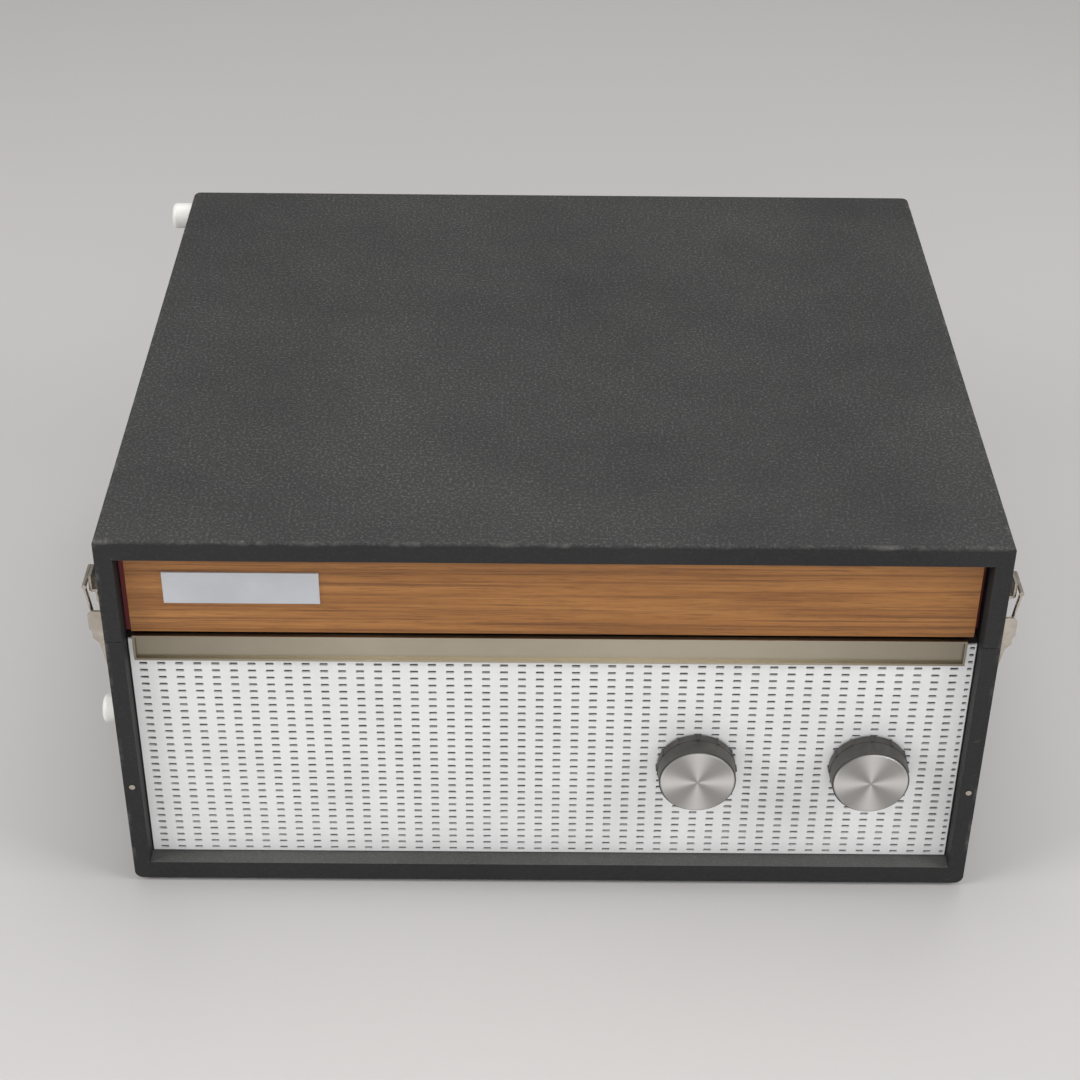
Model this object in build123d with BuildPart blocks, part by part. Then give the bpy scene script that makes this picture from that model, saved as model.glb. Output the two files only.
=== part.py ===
from build123d import *
from math import cos, radians, sin
import os

os.makedirs("parts", exist_ok=True)

# A portable record player in a covered wooden case, in millimetres.
# +Z is up, the front faces -Y, and the origin is on the floor under the
# middle of the case.

# The deck sets the inside of the case.
plate_width = 340.0
plate_depth = 286.0
plate_thickness = 1.6
plate_corner_radius = 12.0
plate_skirt = 3.0
plate_side_margin = 22.0
plate_front_margin = 15.3
plate_rear_margin = 15.3

# Boards of the case.
side_thickness = 8.0
rear_thickness = 8.0
floor_thickness = 10.0
lid_top_thickness = 10.0
pad_height = 2.0
base_height = 143.0
lid_height = 55.0
seam_gap = 0.4
rear_corner_radius = 3.75
lower_corner_radius = 4.0
lid_edge_radius = 1.5
front_recess = 8.4

# Front of the base.
grille_thickness = 1.0
grille_side_gap = 0.7
grille_foot_gap = 0.6
grille_top_drop = 4.0
baffle_thickness = 9.0
trim_left_gap = 3.0
trim_right_gap = 5.5
trim_height = 13.8
trim_depth = 2.4
trim_lip = 1.1
trim_web = 0.9
trim_drop = 0.7

# Knobs on the front.
knob_height = 57.7
volume_from_middle = 68.0
tone_from_middle = 148.6
knob_radius = 18.4
knob_front_radius = 17.9
knob_gap = 1.4
knob_depth = 11.5
knob_skirt = 4.0
nub_radius = 0.8
nub_count = 12
cap_radius = 17.25
cap_thickness = 1.0
cap_bevel = 0.5
shaft_radius = 3.0
running_clearance = 0.05
pot_radius = 11.0
pot_depth = 14.0
bushing_radius = 4.5
bushing_clearance = 0.5

# Loudspeaker behind the baffle.
speaker_from_middle = -75.0
speaker_height = 53.0
speaker_half_width = 89.0
speaker_half_height = 45.0
cone_half_width = 75.0
cone_half_height = 33.0
cone_depth = 28.0
cone_paper = 0.8
cone_tip_radius = 14.0
frame_sheet = 1.5
magnet_radius = 30.0
magnet_depth = 24.0
magnet_step = 10.0

# Lid parts.
lining_thickness = 0.8
fascia_board_thickness = 6.0
fascia_panel_thickness = 1.2
fascia_inset = 8.0
fascia_left_gap = 0.4
fascia_right_gap = 2.8
panel_side_gap = 2.8
fascia_rise = 0.2
badge_width = 69.3
badge_height = 16.6
badge_thickness = 0.8
badge_from_panel_left = 16.2
badge_above_seam = 16.6

# Rubber pads and the feet on the left side.
pad_radius = 9.0
pad_inset = 28.0
foot_radius = 7.0
foot_length = 11.0
foot_crown = 2.5
foot_inset = 28.0
foot_height = 82.5
lid_foot_rear_inset = 12.0
lid_foot_drop = 9.0

# Hinges at the rear.
knuckle_radius = 2.75
hinge_pin_radius = 1.2
hinge_from_middle = 110.0
hinge_width = 50.0
knuckle_gap = 0.3
leaf_thickness = 1.2
leaf_height = 18.0
leaf_setback = 3.4

# Latches, both sides.
latch_from_front = 28.0
latch_pivot_out = 5.2
latch_pivot_drop = 2.0
latch_anchor_out = 7.2
latch_anchor_drop = 8.0
latch_bar_out = 10.9
latch_bar_rise = 16.0
latch_half_width = 9.6
latch_sheet = 1.0
latch_lever_length = 35.0
loop_wire_radius = 1.1
loop_leg_radius = 0.9
loop_half_width = 7.2
latch_pin_radius = 1.2
lever_hub_radius = 3.6
latch_plate_sheet = 1.2
ear_gap = 0.3
ear_top_rise = 4.5
ear_out = 10.3
hook_half_width = 4.8
strike_height = 21.0
strike_rise = 5.6
ear_drop = 15.0
ear_foot_out = 4.0
hook_out = 9.4
hook_sheet = 1.3

# Handle on the right side.
handle_half_span = 56.0
handle_arm_width = 8.0
handle_arm_thickness = 8.4
handle_drop = 42.0
handle_grip_height = 18.0
handle_grip_thickness = 10.0
handle_pivot_height = 102.0
handle_pivot_out = 6.2
handle_pin_radius = 2.0
handle_bracket_width = 6.0
handle_bracket_sheet = 1.4
handle_gap = 0.5
handle_corner = 7.0
bracket_plate_length = 26.0
bracket_plate_height = 24.0
bracket_plate_corner = 4.0

# Motorboard and its battens.
board_drop = 26.0
board_thickness = 6.0
board_edge_gap = 0.4
board_ledge = 20.0
batten_width = 12.0
batten_height = 12.0
mount_height = 3.4
mount_radius = 7.0
mount_inset = 10.0
deck_screw_radius = 2.0
screw_clearance = 0.1
screw_head_radius = 4.5
screw_head_height = 1.8

# Platter and its drive.
platter_from_plate_left = 135.0
platter_behind_middle = 0.0
platter_radius = 122.0
platter_rim = 4.0
platter_disc = 2.0
platter_depth = 14.0
platter_rise = 3.0
hub_radius = 14.0
post_radius = 8.0
post_flange_radius = 18.0
post_flange = 1.2
spigot_radius = 6.0
mat_thickness = 3.0
mat_edge = 2.0
spindle_radius = 3.6
spindle_root_radius = 4.2
spindle_rise = 14.0
mat_hole_clearance = 0.6
idler_radius = 20.0
idler_thickness = 2.4
idler_pin_radius = 1.5
idler_bearing_angle = 150.0
idler_pulley_angle = 115.0
drive_clearance = 0.3
idler_arm_length = 40.0
idler_arm_sheet = 1.2
idler_arm_half_width = 4.0
idler_arm_gap = 0.5
idler_stud_radius = 2.0
pulley_step_height = 3.0
pulley_radii = (6.68, 3.85, 2.85, 1.43)
pulley_rise = 2.5
motor_shaft_radius = 2.0

# Motor under the plate.
rotor_radius = 14.0
rotor_gap = 0.5
stator_height = 24.0
stator_drop = 20.4
stator_back = 25.0
stator_reach = 39.0
stator_half_depth = 25.0
coil_leg = 10.0
coil_build = 8.5
coil_gap = 0.5
bridge_sheet = 3.0
bridge_gap = 4.0
bridge_half_width = 8.0
motor_post_radius = 3.5

# Pickup arm.
arm_from_plate_right = 30.0
arm_behind_middle = 100.0
arm_length = 208.0
arm_height_over_mat = 14.0
arm_tube_radius = 4.0
pedestal_radius = 12.0
pedestal_height = 20.0
gimbal_gap = 0.4
gimbal_disc = 2.6
gimbal_shaft_radius = 4.0
gimbal_ear = 2.5
gimbal_ear_half_depth = 6.0
arm_block_half_width = 8.5
arm_block_half_length = 8.0
arm_block_half_height = 6.0
arm_ear_clearance = 0.5
arm_pin_radius = 1.5
head_width = 19.0
head_length = 46.0
head_height = 9.0
head_beyond_stylus = 13.0
cartridge_width = 13.0
cartridge_length = 20.0
cartridge_height = 5.5
stylus_clearance = 2.2
weight_radius = 10.0
weight_length = 24.0
weight_behind_pivot = 14.0
rest_from_pivot = 145.0
rest_gap = 0.3
rest_sheet = 2.0

# Deck controls.
speed_from_plate_right = 110.0
speed_from_plate_front = 18.0
speed_knob_radius = 12.0
speed_knob_height = 10.0
lever_from_plate_right = 35.0
lever_from_plate_front = 10.0
lever_length = 24.0
lever_half_width = 4.0
lever_sheet = 3.0
lever_knob_radius = 5.0
control_gap = 0.5

# Amplifier.
chassis_width = 120.0
chassis_depth = 56.0
chassis_height = 34.0
chassis_sheet = 1.5
chassis_from_middle = 112.0
chassis_behind_baffle = 72.0
valve_radius = 11.0
valve_height = 46.0
valve_spacing = 60.0
socket_radius = 12.5
socket_height = 6.0
transformer_width = 44.0
transformer_depth = 36.0
transformer_height = 40.0
transformer_yoke = 8.0
transformer_from_middle = 18.0
transformer_behind_baffle = 110.0
capacitor_radius = 13.0
capacitor_height = 60.0
capacitor_from_middle = 70.0
capacitor_behind_baffle = 150.0

# Rear of the base.
vent_width = 160.0
vent_height = 60.0
vent_rise = 24.0
vent_ledge = 8.0
vent_panel = 3.0
vent_clearance = 0.3
vent_slot_length = 34.0
vent_slot_width = 4.0
vent_rows = 4
vent_columns = 3
cord_from_middle = 150.0
cord_rise = 22.0
grommet_neck_radius = 8.0
grommet_bore_radius = 3.5
grommet_flange_radius = 11.0
grommet_flange = 2.0

# Heads of the two pins in the front edges of the side boards.
edge_pin_radius = 1.4
edge_pin_head = 0.5
edge_pin_length = 12.0
edge_pin_height = 60.0

# Places worked out from the sizes above.
case_width = plate_width + 2 * plate_side_margin + 2 * side_thickness
front_stack = front_recess + grille_thickness + baffle_thickness
case_depth = front_stack + plate_front_margin + plate_depth + plate_rear_margin + rear_thickness
half_width = case_width / 2
inner_x = half_width - side_thickness
front_y = -case_depth / 2
rear_y = case_depth / 2
inner_rear_y = rear_y - rear_thickness
floor_top = pad_height + floor_thickness
seam_height = pad_height + base_height
lid_bottom = seam_height + seam_gap
case_height = seam_height + lid_height
lid_inner_top = case_height - lid_top_thickness
grille_y = front_y + front_recess
baffle_y = grille_y + grille_thickness
baffle_rear_y = baffle_y + baffle_thickness
grille_top = seam_height - grille_top_drop
fascia_y = front_y + fascia_inset
fascia_board_y = fascia_y + fascia_panel_thickness
fascia_rear_y = fascia_board_y + fascia_board_thickness
knob_z = floor_top + knob_height
knob_rear_y = grille_y - knob_gap
knob_face_y = knob_rear_y - knob_depth
cap_face_y = knob_face_y - cap_thickness
speaker_z = floor_top + speaker_height
board_top = seam_height - board_drop
board_bottom = board_top - board_thickness
plate_bottom = board_top + mount_height
plate_top = plate_bottom + plate_thickness
plate_y = baffle_rear_y + plate_front_margin + plate_depth / 2
platter_x = -plate_width / 2 + platter_from_plate_left
platter_y = plate_y + platter_behind_middle
platter_bottom = plate_top + platter_rise
platter_top = platter_bottom + platter_depth
disc_bottom = platter_top - platter_disc
mat_top = platter_top + mat_thickness
rim_inner_radius = platter_radius - platter_rim
pin_root_z = platter_top - 0.2
pulley_base = plate_top + pulley_rise
drive_step = 2
drive_radius = pulley_radii[drive_step]
idler_z = pulley_base + drive_step * pulley_step_height + (pulley_step_height - idler_thickness) / 2
idler_reach = rim_inner_radius - idler_radius - drive_clearance
idler_x = platter_x + idler_reach * cos(radians(idler_bearing_angle))
idler_y = platter_y + idler_reach * sin(radians(idler_bearing_angle))
pulley_bearing = radians(idler_bearing_angle + idler_pulley_angle)
pulley_reach = idler_radius + drive_radius + drive_clearance
motor_x = idler_x + pulley_reach * cos(pulley_bearing)
motor_y = idler_y + pulley_reach * sin(pulley_bearing)
idler_arm_angle = idler_bearing_angle + idler_pulley_angle / 2 + 90
idler_pivot_x = idler_x + idler_arm_length * cos(radians(idler_arm_angle))
idler_pivot_y = idler_y + idler_arm_length * sin(radians(idler_arm_angle))
arm_x = plate_width / 2 - arm_from_plate_right
arm_y = plate_y + arm_behind_middle
arm_z = mat_top + arm_height_over_mat
stylus_y = arm_y - arm_length
pedestal_top = plate_top + pedestal_height
hinge_y = rear_y + knuckle_radius
hinge_z = seam_height + seam_gap / 2
latch_y = front_y + latch_from_front
latch_pivot_z = seam_height - latch_pivot_drop
latch_anchor_z = latch_pivot_z - latch_anchor_drop
latch_bar_z = seam_height + latch_bar_rise
handle_x = half_width + handle_pivot_out
foot_front_y = front_y + foot_inset
foot_rear_y = rear_y - foot_inset


def front_plane(y):
    """Plane across the case that faces the front: local x is X, local y is Z."""
    return Plane(origin=(0, y, 0), x_dir=(1, 0, 0), z_dir=(0, -1, 0))


def side_plane(x):
    """Plane along the case that faces +X: local x is Y, local y is Z."""
    return Plane(origin=(x, 0, 0), x_dir=(0, 1, 0), z_dir=(1, 0, 0))


def knob_plane(x):
    """Level plane through a knob's axis: local x is the radius, local y is Y."""
    return Plane(origin=(x, 0, knob_z), x_dir=(1, 0, 0), z_dir=(0, 0, 1))


def side_section(y, side):
    """Section across one side wall: local x points out of the wall, local y is Z."""
    return Plane(origin=(side * half_width, y, 0), x_dir=(side, 0, 0), z_dir=(0, -side, 0))


def finish_piece(piece, name):
    """Name one piece and write its file."""
    piece.part.label = name
    export_step(piece.part, "parts/" + name + ".step")


# Base of the case: floor, two sides and a rear wall in one carcass.
with BuildPart() as base_cabinet:
    with BuildSketch(Plane.XY.offset(pad_height)):
        Rectangle(case_width, case_depth)
    extrude(amount=base_height)
    fillet(base_cabinet.edges().filter_by(Axis.Z).group_by(Axis.Y)[-1], rear_corner_radius)
    fillet(base_cabinet.edges().filter_by(Axis.Y).group_by(Axis.Z)[0], lower_corner_radius)
    with BuildSketch(Plane.XY.offset(floor_top)):
        with Locations((0, (front_y + inner_rear_y) / 2)):
            Rectangle(2 * inner_x, inner_rear_y - front_y)
    extrude(amount=seam_height - floor_top, mode=Mode.SUBTRACT)
    with BuildSketch(front_plane(rear_y)):
        with Locations((0, floor_top + vent_rise + vent_height / 2)):
            Rectangle(vent_width + 2 * vent_clearance, vent_height + 2 * vent_clearance)
    extrude(amount=vent_panel, mode=Mode.SUBTRACT)
    with BuildSketch(front_plane(rear_y)):
        with Locations((0, floor_top + vent_rise + vent_height / 2)):
            Rectangle(vent_width - 2 * vent_ledge, vent_height - 2 * vent_ledge)
        with Locations((cord_from_middle, floor_top + cord_rise)):
            Circle(grommet_neck_radius + running_clearance)
    extrude(amount=rear_thickness, mode=Mode.SUBTRACT)
    with BuildSketch(front_plane(front_y)):
        with Locations((half_width - side_thickness / 2, edge_pin_height), (side_thickness / 2 - half_width, edge_pin_height)):
            Circle(edge_pin_radius / 2 + running_clearance)
    extrude(amount=-edge_pin_length, mode=Mode.SUBTRACT)
finish_piece(base_cabinet, "base_cabinet")

# Four low pads that the case stands on.
with BuildPart() as base_feet:
    with BuildSketch(Plane.XY):
        with GridLocations(case_width - 2 * pad_inset, case_depth - 2 * pad_inset, 2, 2):
            Circle(pad_radius)
    extrude(amount=pad_height)
finish_piece(base_feet, "base_feet")

# Baffle board with the loudspeaker opening and two holes for the controls.
with BuildPart() as baffle_board:
    with BuildSketch(front_plane(baffle_y)):
        with Locations((0, (floor_top + grille_top) / 2)):
            Rectangle(2 * inner_x, grille_top - floor_top)
        with Locations((speaker_from_middle, speaker_z)):
            Ellipse(cone_half_width, cone_half_height, mode=Mode.SUBTRACT)
        with Locations((volume_from_middle, knob_z), (tone_from_middle, knob_z)):
            Circle(bushing_radius + bushing_clearance, mode=Mode.SUBTRACT)
    extrude(amount=-baffle_thickness)
finish_piece(baffle_board, "baffle_board")

# Pierced sheet in front of the baffle; the slots are too fine to cut here.
with BuildPart() as speaker_grille:
    with BuildSketch(front_plane(grille_y)):
        with Locations((0, (floor_top + grille_foot_gap + grille_top) / 2)):
            Rectangle(2 * (inner_x - grille_side_gap), grille_top - floor_top - grille_foot_gap)
        with Locations((volume_from_middle, knob_z), (tone_from_middle, knob_z)):
            Circle(bushing_radius + bushing_clearance, mode=Mode.SUBTRACT)
    extrude(amount=-grille_thickness)
finish_piece(speaker_grille, "speaker_grille")

# Shallow channel that trims the top of the grille.
with BuildPart() as trim_channel:
    with BuildSketch(front_plane(grille_y)):
        with Locations(((trim_left_gap - trim_right_gap) / 2, seam_height - trim_drop - trim_height / 2)):
            Rectangle(2 * inner_x - trim_left_gap - trim_right_gap, trim_height)
    extrude(amount=trim_depth)
    with BuildSketch(front_plane(grille_y - trim_web)):
        with Locations(((trim_left_gap - trim_right_gap) / 2, seam_height - trim_drop - trim_height / 2)):
            Rectangle(2 * inner_x - trim_left_gap - trim_right_gap - 2 * trim_lip, trim_height - 2 * trim_lip)
    extrude(amount=trim_depth - trim_web, mode=Mode.SUBTRACT)
finish_piece(trim_channel, "trim_channel")

# Two short pins whose heads show on the front edges of the side boards.
with BuildPart() as edge_pins:
    with BuildSketch(front_plane(front_y)):
        with Locations((half_width - side_thickness / 2, edge_pin_height), (side_thickness / 2 - half_width, edge_pin_height)):
            Circle(edge_pin_radius)
    extrude(amount=edge_pin_head)
    with BuildSketch(front_plane(front_y)):
        with Locations((half_width - side_thickness / 2, edge_pin_height), (side_thickness / 2 - half_width, edge_pin_height)):
            Circle(edge_pin_radius / 2)
    extrude(amount=-(edge_pin_length - 1))
finish_piece(edge_pins, "edge_pins")

# Feet on the left side, for standing the closed case upright.
with BuildPart() as side_feet:
    with BuildSketch(side_plane(-half_width)):
        with Locations((foot_front_y, pad_height + foot_height), (foot_rear_y, pad_height + foot_height)):
            Circle(foot_radius)
    extrude(amount=-foot_length)
    fillet(side_feet.faces().sort_by(Axis.X)[0:2].edges(), foot_crown)
finish_piece(side_feet, "side_feet")

# Vented panel set into the rear wall.
with BuildPart() as rear_vent_panel:
    with BuildSketch(front_plane(rear_y)):
        with Locations((0, floor_top + vent_rise + vent_height / 2)):
            Rectangle(vent_width, vent_height)
            with GridLocations((vent_width - 2 * vent_ledge) / vent_columns, (vent_height - 2 * vent_ledge) / vent_rows, vent_columns, vent_rows):
                SlotOverall(vent_slot_length, vent_slot_width, mode=Mode.SUBTRACT)
    extrude(amount=vent_panel)
finish_piece(rear_vent_panel, "rear_vent_panel")

# Rubber grommet of the mains inlet in the rear wall.
with BuildPart() as cord_grommet:
    with BuildSketch(front_plane(rear_y + grommet_flange)):
        with Locations((cord_from_middle, floor_top + cord_rise)):
            Circle(grommet_flange_radius)
    extrude(amount=grommet_flange)
    with BuildSketch(front_plane(rear_y)):
        with Locations((cord_from_middle, floor_top + cord_rise)):
            Circle(grommet_neck_radius)
    extrude(amount=rear_thickness)
    with BuildSketch(front_plane(inner_rear_y)):
        with Locations((cord_from_middle, floor_top + cord_rise)):
            Circle(grommet_flange_radius)
    extrude(amount=grommet_flange)
    with BuildSketch(front_plane(rear_y + grommet_flange)):
        with Locations((cord_from_middle, floor_top + cord_rise)):
            Circle(grommet_bore_radius)
    extrude(amount=rear_thickness + 2 * grommet_flange, mode=Mode.SUBTRACT)
finish_piece(cord_grommet, "cord_grommet")

# Elliptical loudspeaker: paper cone, pressed frame and magnet.
with BuildPart() as speaker_cone:
    with BuildSketch(front_plane(baffle_rear_y)):
        with Locations((speaker_from_middle, speaker_z)):
            Ellipse(cone_half_width + 6, cone_half_height + 6)
            Ellipse(cone_half_width - 2, cone_half_height - 2, mode=Mode.SUBTRACT)
    extrude(amount=-cone_paper)
    with BuildSketch(front_plane(baffle_rear_y)):
        with Locations((speaker_from_middle, speaker_z)):
            Ellipse(cone_half_width, cone_half_height)
    with BuildSketch(front_plane(baffle_rear_y + cone_depth)):
        with Locations((speaker_from_middle, speaker_z)):
            Circle(cone_tip_radius)
    loft()
    with BuildSketch(front_plane(baffle_rear_y)):
        with Locations((speaker_from_middle, speaker_z)):
            Ellipse(cone_half_width - 2, cone_half_height - 2)
    with BuildSketch(front_plane(baffle_rear_y + cone_depth - cone_paper)):
        with Locations((speaker_from_middle, speaker_z)):
            Circle(cone_tip_radius - 2)
    loft(mode=Mode.SUBTRACT)
finish_piece(speaker_cone, "speaker_cone")

frame_y = baffle_rear_y + cone_paper
magnet_y = baffle_rear_y + cone_depth + magnet_step
with BuildPart() as speaker_frame:
    with BuildSketch(front_plane(frame_y)):
        with Locations((speaker_from_middle, speaker_z)):
            Ellipse(speaker_half_width, speaker_half_height)
            Ellipse(cone_half_width + 1, cone_half_height + 1, mode=Mode.SUBTRACT)
    extrude(amount=-frame_sheet)
    with BuildSketch(front_plane(magnet_y)):
        with Locations((speaker_from_middle, speaker_z)):
            Circle(magnet_radius)
    extrude(amount=frame_sheet)
    with BuildSketch(front_plane(frame_y)):
        with Locations((speaker_from_middle - cone_half_width - 6, speaker_z), (speaker_from_middle + cone_half_width + 6, speaker_z)):
            Rectangle(6, 14)
    with BuildSketch(front_plane(magnet_y)):
        with Locations((speaker_from_middle - magnet_radius + 4, speaker_z), (speaker_from_middle + magnet_radius - 4, speaker_z)):
            Rectangle(6, 14)
    leg_sketches = speaker_frame.pending_faces
    for near, far in zip(leg_sketches[:2], leg_sketches[2:]):
        loft([near, far], clean=False)
    speaker_frame.pending_faces.clear()
finish_piece(speaker_frame, "speaker_frame")

with BuildPart() as speaker_magnet:
    with BuildSketch(front_plane(magnet_y)):
        with Locations((speaker_from_middle, speaker_z)):
            Circle(magnet_radius)
    extrude(amount=-magnet_depth)
    chamfer(speaker_magnet.edges().group_by(Axis.Y)[-1], 2)
finish_piece(speaker_magnet, "speaker_magnet")

# Bodies and bushings of the two rotary controls.
with BuildPart() as control_pots:
    with BuildSketch(front_plane(baffle_rear_y)):
        with Locations((volume_from_middle, knob_z), (tone_from_middle, knob_z)):
            Circle(pot_radius)
    extrude(amount=-pot_depth)
    with BuildSketch(front_plane(baffle_y)):
        with Locations((volume_from_middle, knob_z), (tone_from_middle, knob_z)):
            Circle(bushing_radius)
    extrude(amount=-baffle_thickness)
    with BuildSketch(front_plane(baffle_y)):
        with Locations((volume_from_middle, knob_z), (tone_from_middle, knob_z)):
            Circle(shaft_radius + running_clearance)
    extrude(amount=-(baffle_thickness + pot_depth - 2), mode=Mode.SUBTRACT)
finish_piece(control_pots, "control_pots")

# Knobs with their shafts, and the spun caps on their faces.
for knob_name, knob_x in (("volume", volume_from_middle), ("tone", tone_from_middle)):
    with BuildPart() as control_knob:
        with BuildSketch(front_plane(knob_rear_y)):
            with Locations((knob_x, knob_z)):
                Circle(knob_radius)
                with PolarLocations(knob_radius - nub_radius / 4, nub_count):
                    Circle(nub_radius)
        extrude(amount=knob_skirt)
        with BuildSketch(knob_plane(knob_x)):
            with BuildLine():
                Polyline(
                    (0, knob_rear_y - knob_skirt),
                    (knob_radius - 0.2, knob_rear_y - knob_skirt),
                    (knob_front_radius, knob_face_y),
                    (0, knob_face_y),
                    close=True,
                )
            make_face()
        revolve(axis=Axis((knob_x, 0, knob_z), (0, 1, 0)))
        with BuildSketch(front_plane(knob_rear_y)):
            with Locations((knob_x, knob_z)):
                Circle(shaft_radius)
        extrude(amount=-(knob_gap + grille_thickness + baffle_thickness + pot_depth - 3))
    finish_piece(control_knob, knob_name + "_knob")
    with BuildPart() as knob_cap:
        with BuildSketch(front_plane(knob_face_y)):
            with Locations((knob_x, knob_z)):
                Circle(cap_radius)
        extrude(amount=cap_thickness)
        chamfer(knob_cap.faces().sort_by(Axis.Y)[0].edges(), cap_bevel)
    finish_piece(knob_cap, knob_name + "_cap")

# Lid: top board, sides and rear wall in one shell, open below and at the front.
with BuildPart() as lid_shell:
    with BuildSketch(Plane.XY.offset(lid_bottom)):
        Rectangle(case_width, case_depth)
    extrude(amount=case_height - lid_bottom)
    fillet(lid_shell.edges().filter_by(Axis.Z).group_by(Axis.Y)[-1], rear_corner_radius)
    fillet(lid_shell.edges().group_by(Axis.Z)[-1], lid_edge_radius)
    with BuildSketch(Plane.XY.offset(lid_bottom)):
        with Locations((0, (front_y + inner_rear_y) / 2)):
            Rectangle(2 * inner_x, inner_rear_y - front_y)
    extrude(amount=lid_inner_top - lid_bottom, mode=Mode.SUBTRACT)
finish_piece(lid_shell, "lid_shell")

# Cloth lining of the lid's inside, behind the fascia.
with BuildPart() as lid_lining:
    with BuildSketch(Plane.XY.offset(lid_bottom)):
        with Locations((0, (fascia_rear_y + inner_rear_y) / 2)):
            Rectangle(2 * inner_x, inner_rear_y - fascia_rear_y)
    extrude(amount=lid_inner_top - lid_bottom)
    with BuildSketch(Plane.XY.offset(lid_bottom)):
        with Locations((0, (fascia_rear_y + inner_rear_y - lining_thickness) / 2)):
            Rectangle(2 * (inner_x - lining_thickness), inner_rear_y - lining_thickness - fascia_rear_y)
    extrude(amount=lid_inner_top - lining_thickness - lid_bottom, mode=Mode.SUBTRACT)
finish_piece(lid_lining, "lid_lining")

# Fascia: a painted board, the veneered panel in front of it and a bare badge.
with BuildPart() as fascia_board:
    with BuildSketch(front_plane(fascia_board_y)):
        with Locations(((fascia_left_gap - fascia_right_gap) / 2, (lid_bottom + fascia_rise + lid_inner_top) / 2)):
            Rectangle(2 * inner_x - fascia_left_gap - fascia_right_gap, lid_inner_top - lid_bottom - fascia_rise)
    extrude(amount=-fascia_board_thickness)
finish_piece(fascia_board, "fascia_board")

with BuildPart() as fascia_panel:
    with BuildSketch(front_plane(fascia_y)):
        with Locations((0, (lid_bottom + fascia_rise + lid_inner_top) / 2)):
            Rectangle(2 * (inner_x - panel_side_gap), lid_inner_top - lid_bottom - fascia_rise)
    extrude(amount=-fascia_panel_thickness)
finish_piece(fascia_panel, "fascia_panel")

with BuildPart() as badge_plate:
    with BuildSketch(front_plane(fascia_y)):
        with Locations((panel_side_gap - inner_x + badge_from_panel_left, lid_bottom + badge_above_seam)):
            Rectangle(badge_width, badge_height, align=(Align.MIN, Align.MIN))
    extrude(amount=badge_thickness)
finish_piece(badge_plate, "badge_plate")

# Foot on the left side of the lid.
with BuildPart() as lid_foot:
    with BuildSketch(side_plane(-half_width)):
        with Locations((rear_y - lid_foot_rear_inset, case_height - lid_foot_drop)):
            Circle(foot_radius)
    extrude(amount=-foot_length)
    fillet(lid_foot.faces().sort_by(Axis.X)[0].edges(), foot_crown)
finish_piece(lid_foot, "lid_foot")

# Butt hinges on the rear wall; the pin is fixed in the lower leaf's knuckles.
knuckle_length = (hinge_width - 2 * knuckle_gap) / 3
with BuildPart() as hinge_base_leaves:
    for hinge_x in (-hinge_from_middle, hinge_from_middle):
        with BuildSketch(front_plane(rear_y + leaf_thickness)):
            with Locations((hinge_x, hinge_z - leaf_setback)):
                Rectangle(hinge_width, leaf_height, align=(Align.CENTER, Align.MAX))
        extrude(amount=leaf_thickness)
        for knuckle_x in (hinge_x - knuckle_length - knuckle_gap, hinge_x + knuckle_length + knuckle_gap):
            with BuildSketch(side_plane(knuckle_x - knuckle_length / 2)):
                with Locations((hinge_y, hinge_z)):
                    Circle(knuckle_radius)
                with Locations((rear_y, hinge_z)):
                    Rectangle(leaf_thickness, leaf_setback + 1, align=(Align.MIN, Align.MAX))
            extrude(amount=knuckle_length)
        with BuildSketch(side_plane(hinge_x - hinge_width / 2)):
            with Locations((hinge_y, hinge_z)):
                Circle(hinge_pin_radius)
        extrude(amount=hinge_width)
finish_piece(hinge_base_leaves, "hinge_base_leaves")

with BuildPart() as hinge_lid_leaves:
    for hinge_x in (-hinge_from_middle, hinge_from_middle):
        with BuildSketch(front_plane(rear_y + leaf_thickness)):
            with Locations((hinge_x, hinge_z + leaf_setback)):
                Rectangle(hinge_width, leaf_height, align=(Align.CENTER, Align.MIN))
        extrude(amount=leaf_thickness)
        with BuildSketch(side_plane(hinge_x - knuckle_length / 2)):
            with Locations((hinge_y, hinge_z)):
                Circle(knuckle_radius)
            with Locations((rear_y, hinge_z)):
                Rectangle(leaf_thickness, leaf_setback + 1, align=(Align.MIN, Align.MIN))
            with Locations((hinge_y, hinge_z)):
                Circle(hinge_pin_radius + running_clearance, mode=Mode.SUBTRACT)
        extrude(amount=knuckle_length)
finish_piece(hinge_lid_leaves, "hinge_lid_leaves")

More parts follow.
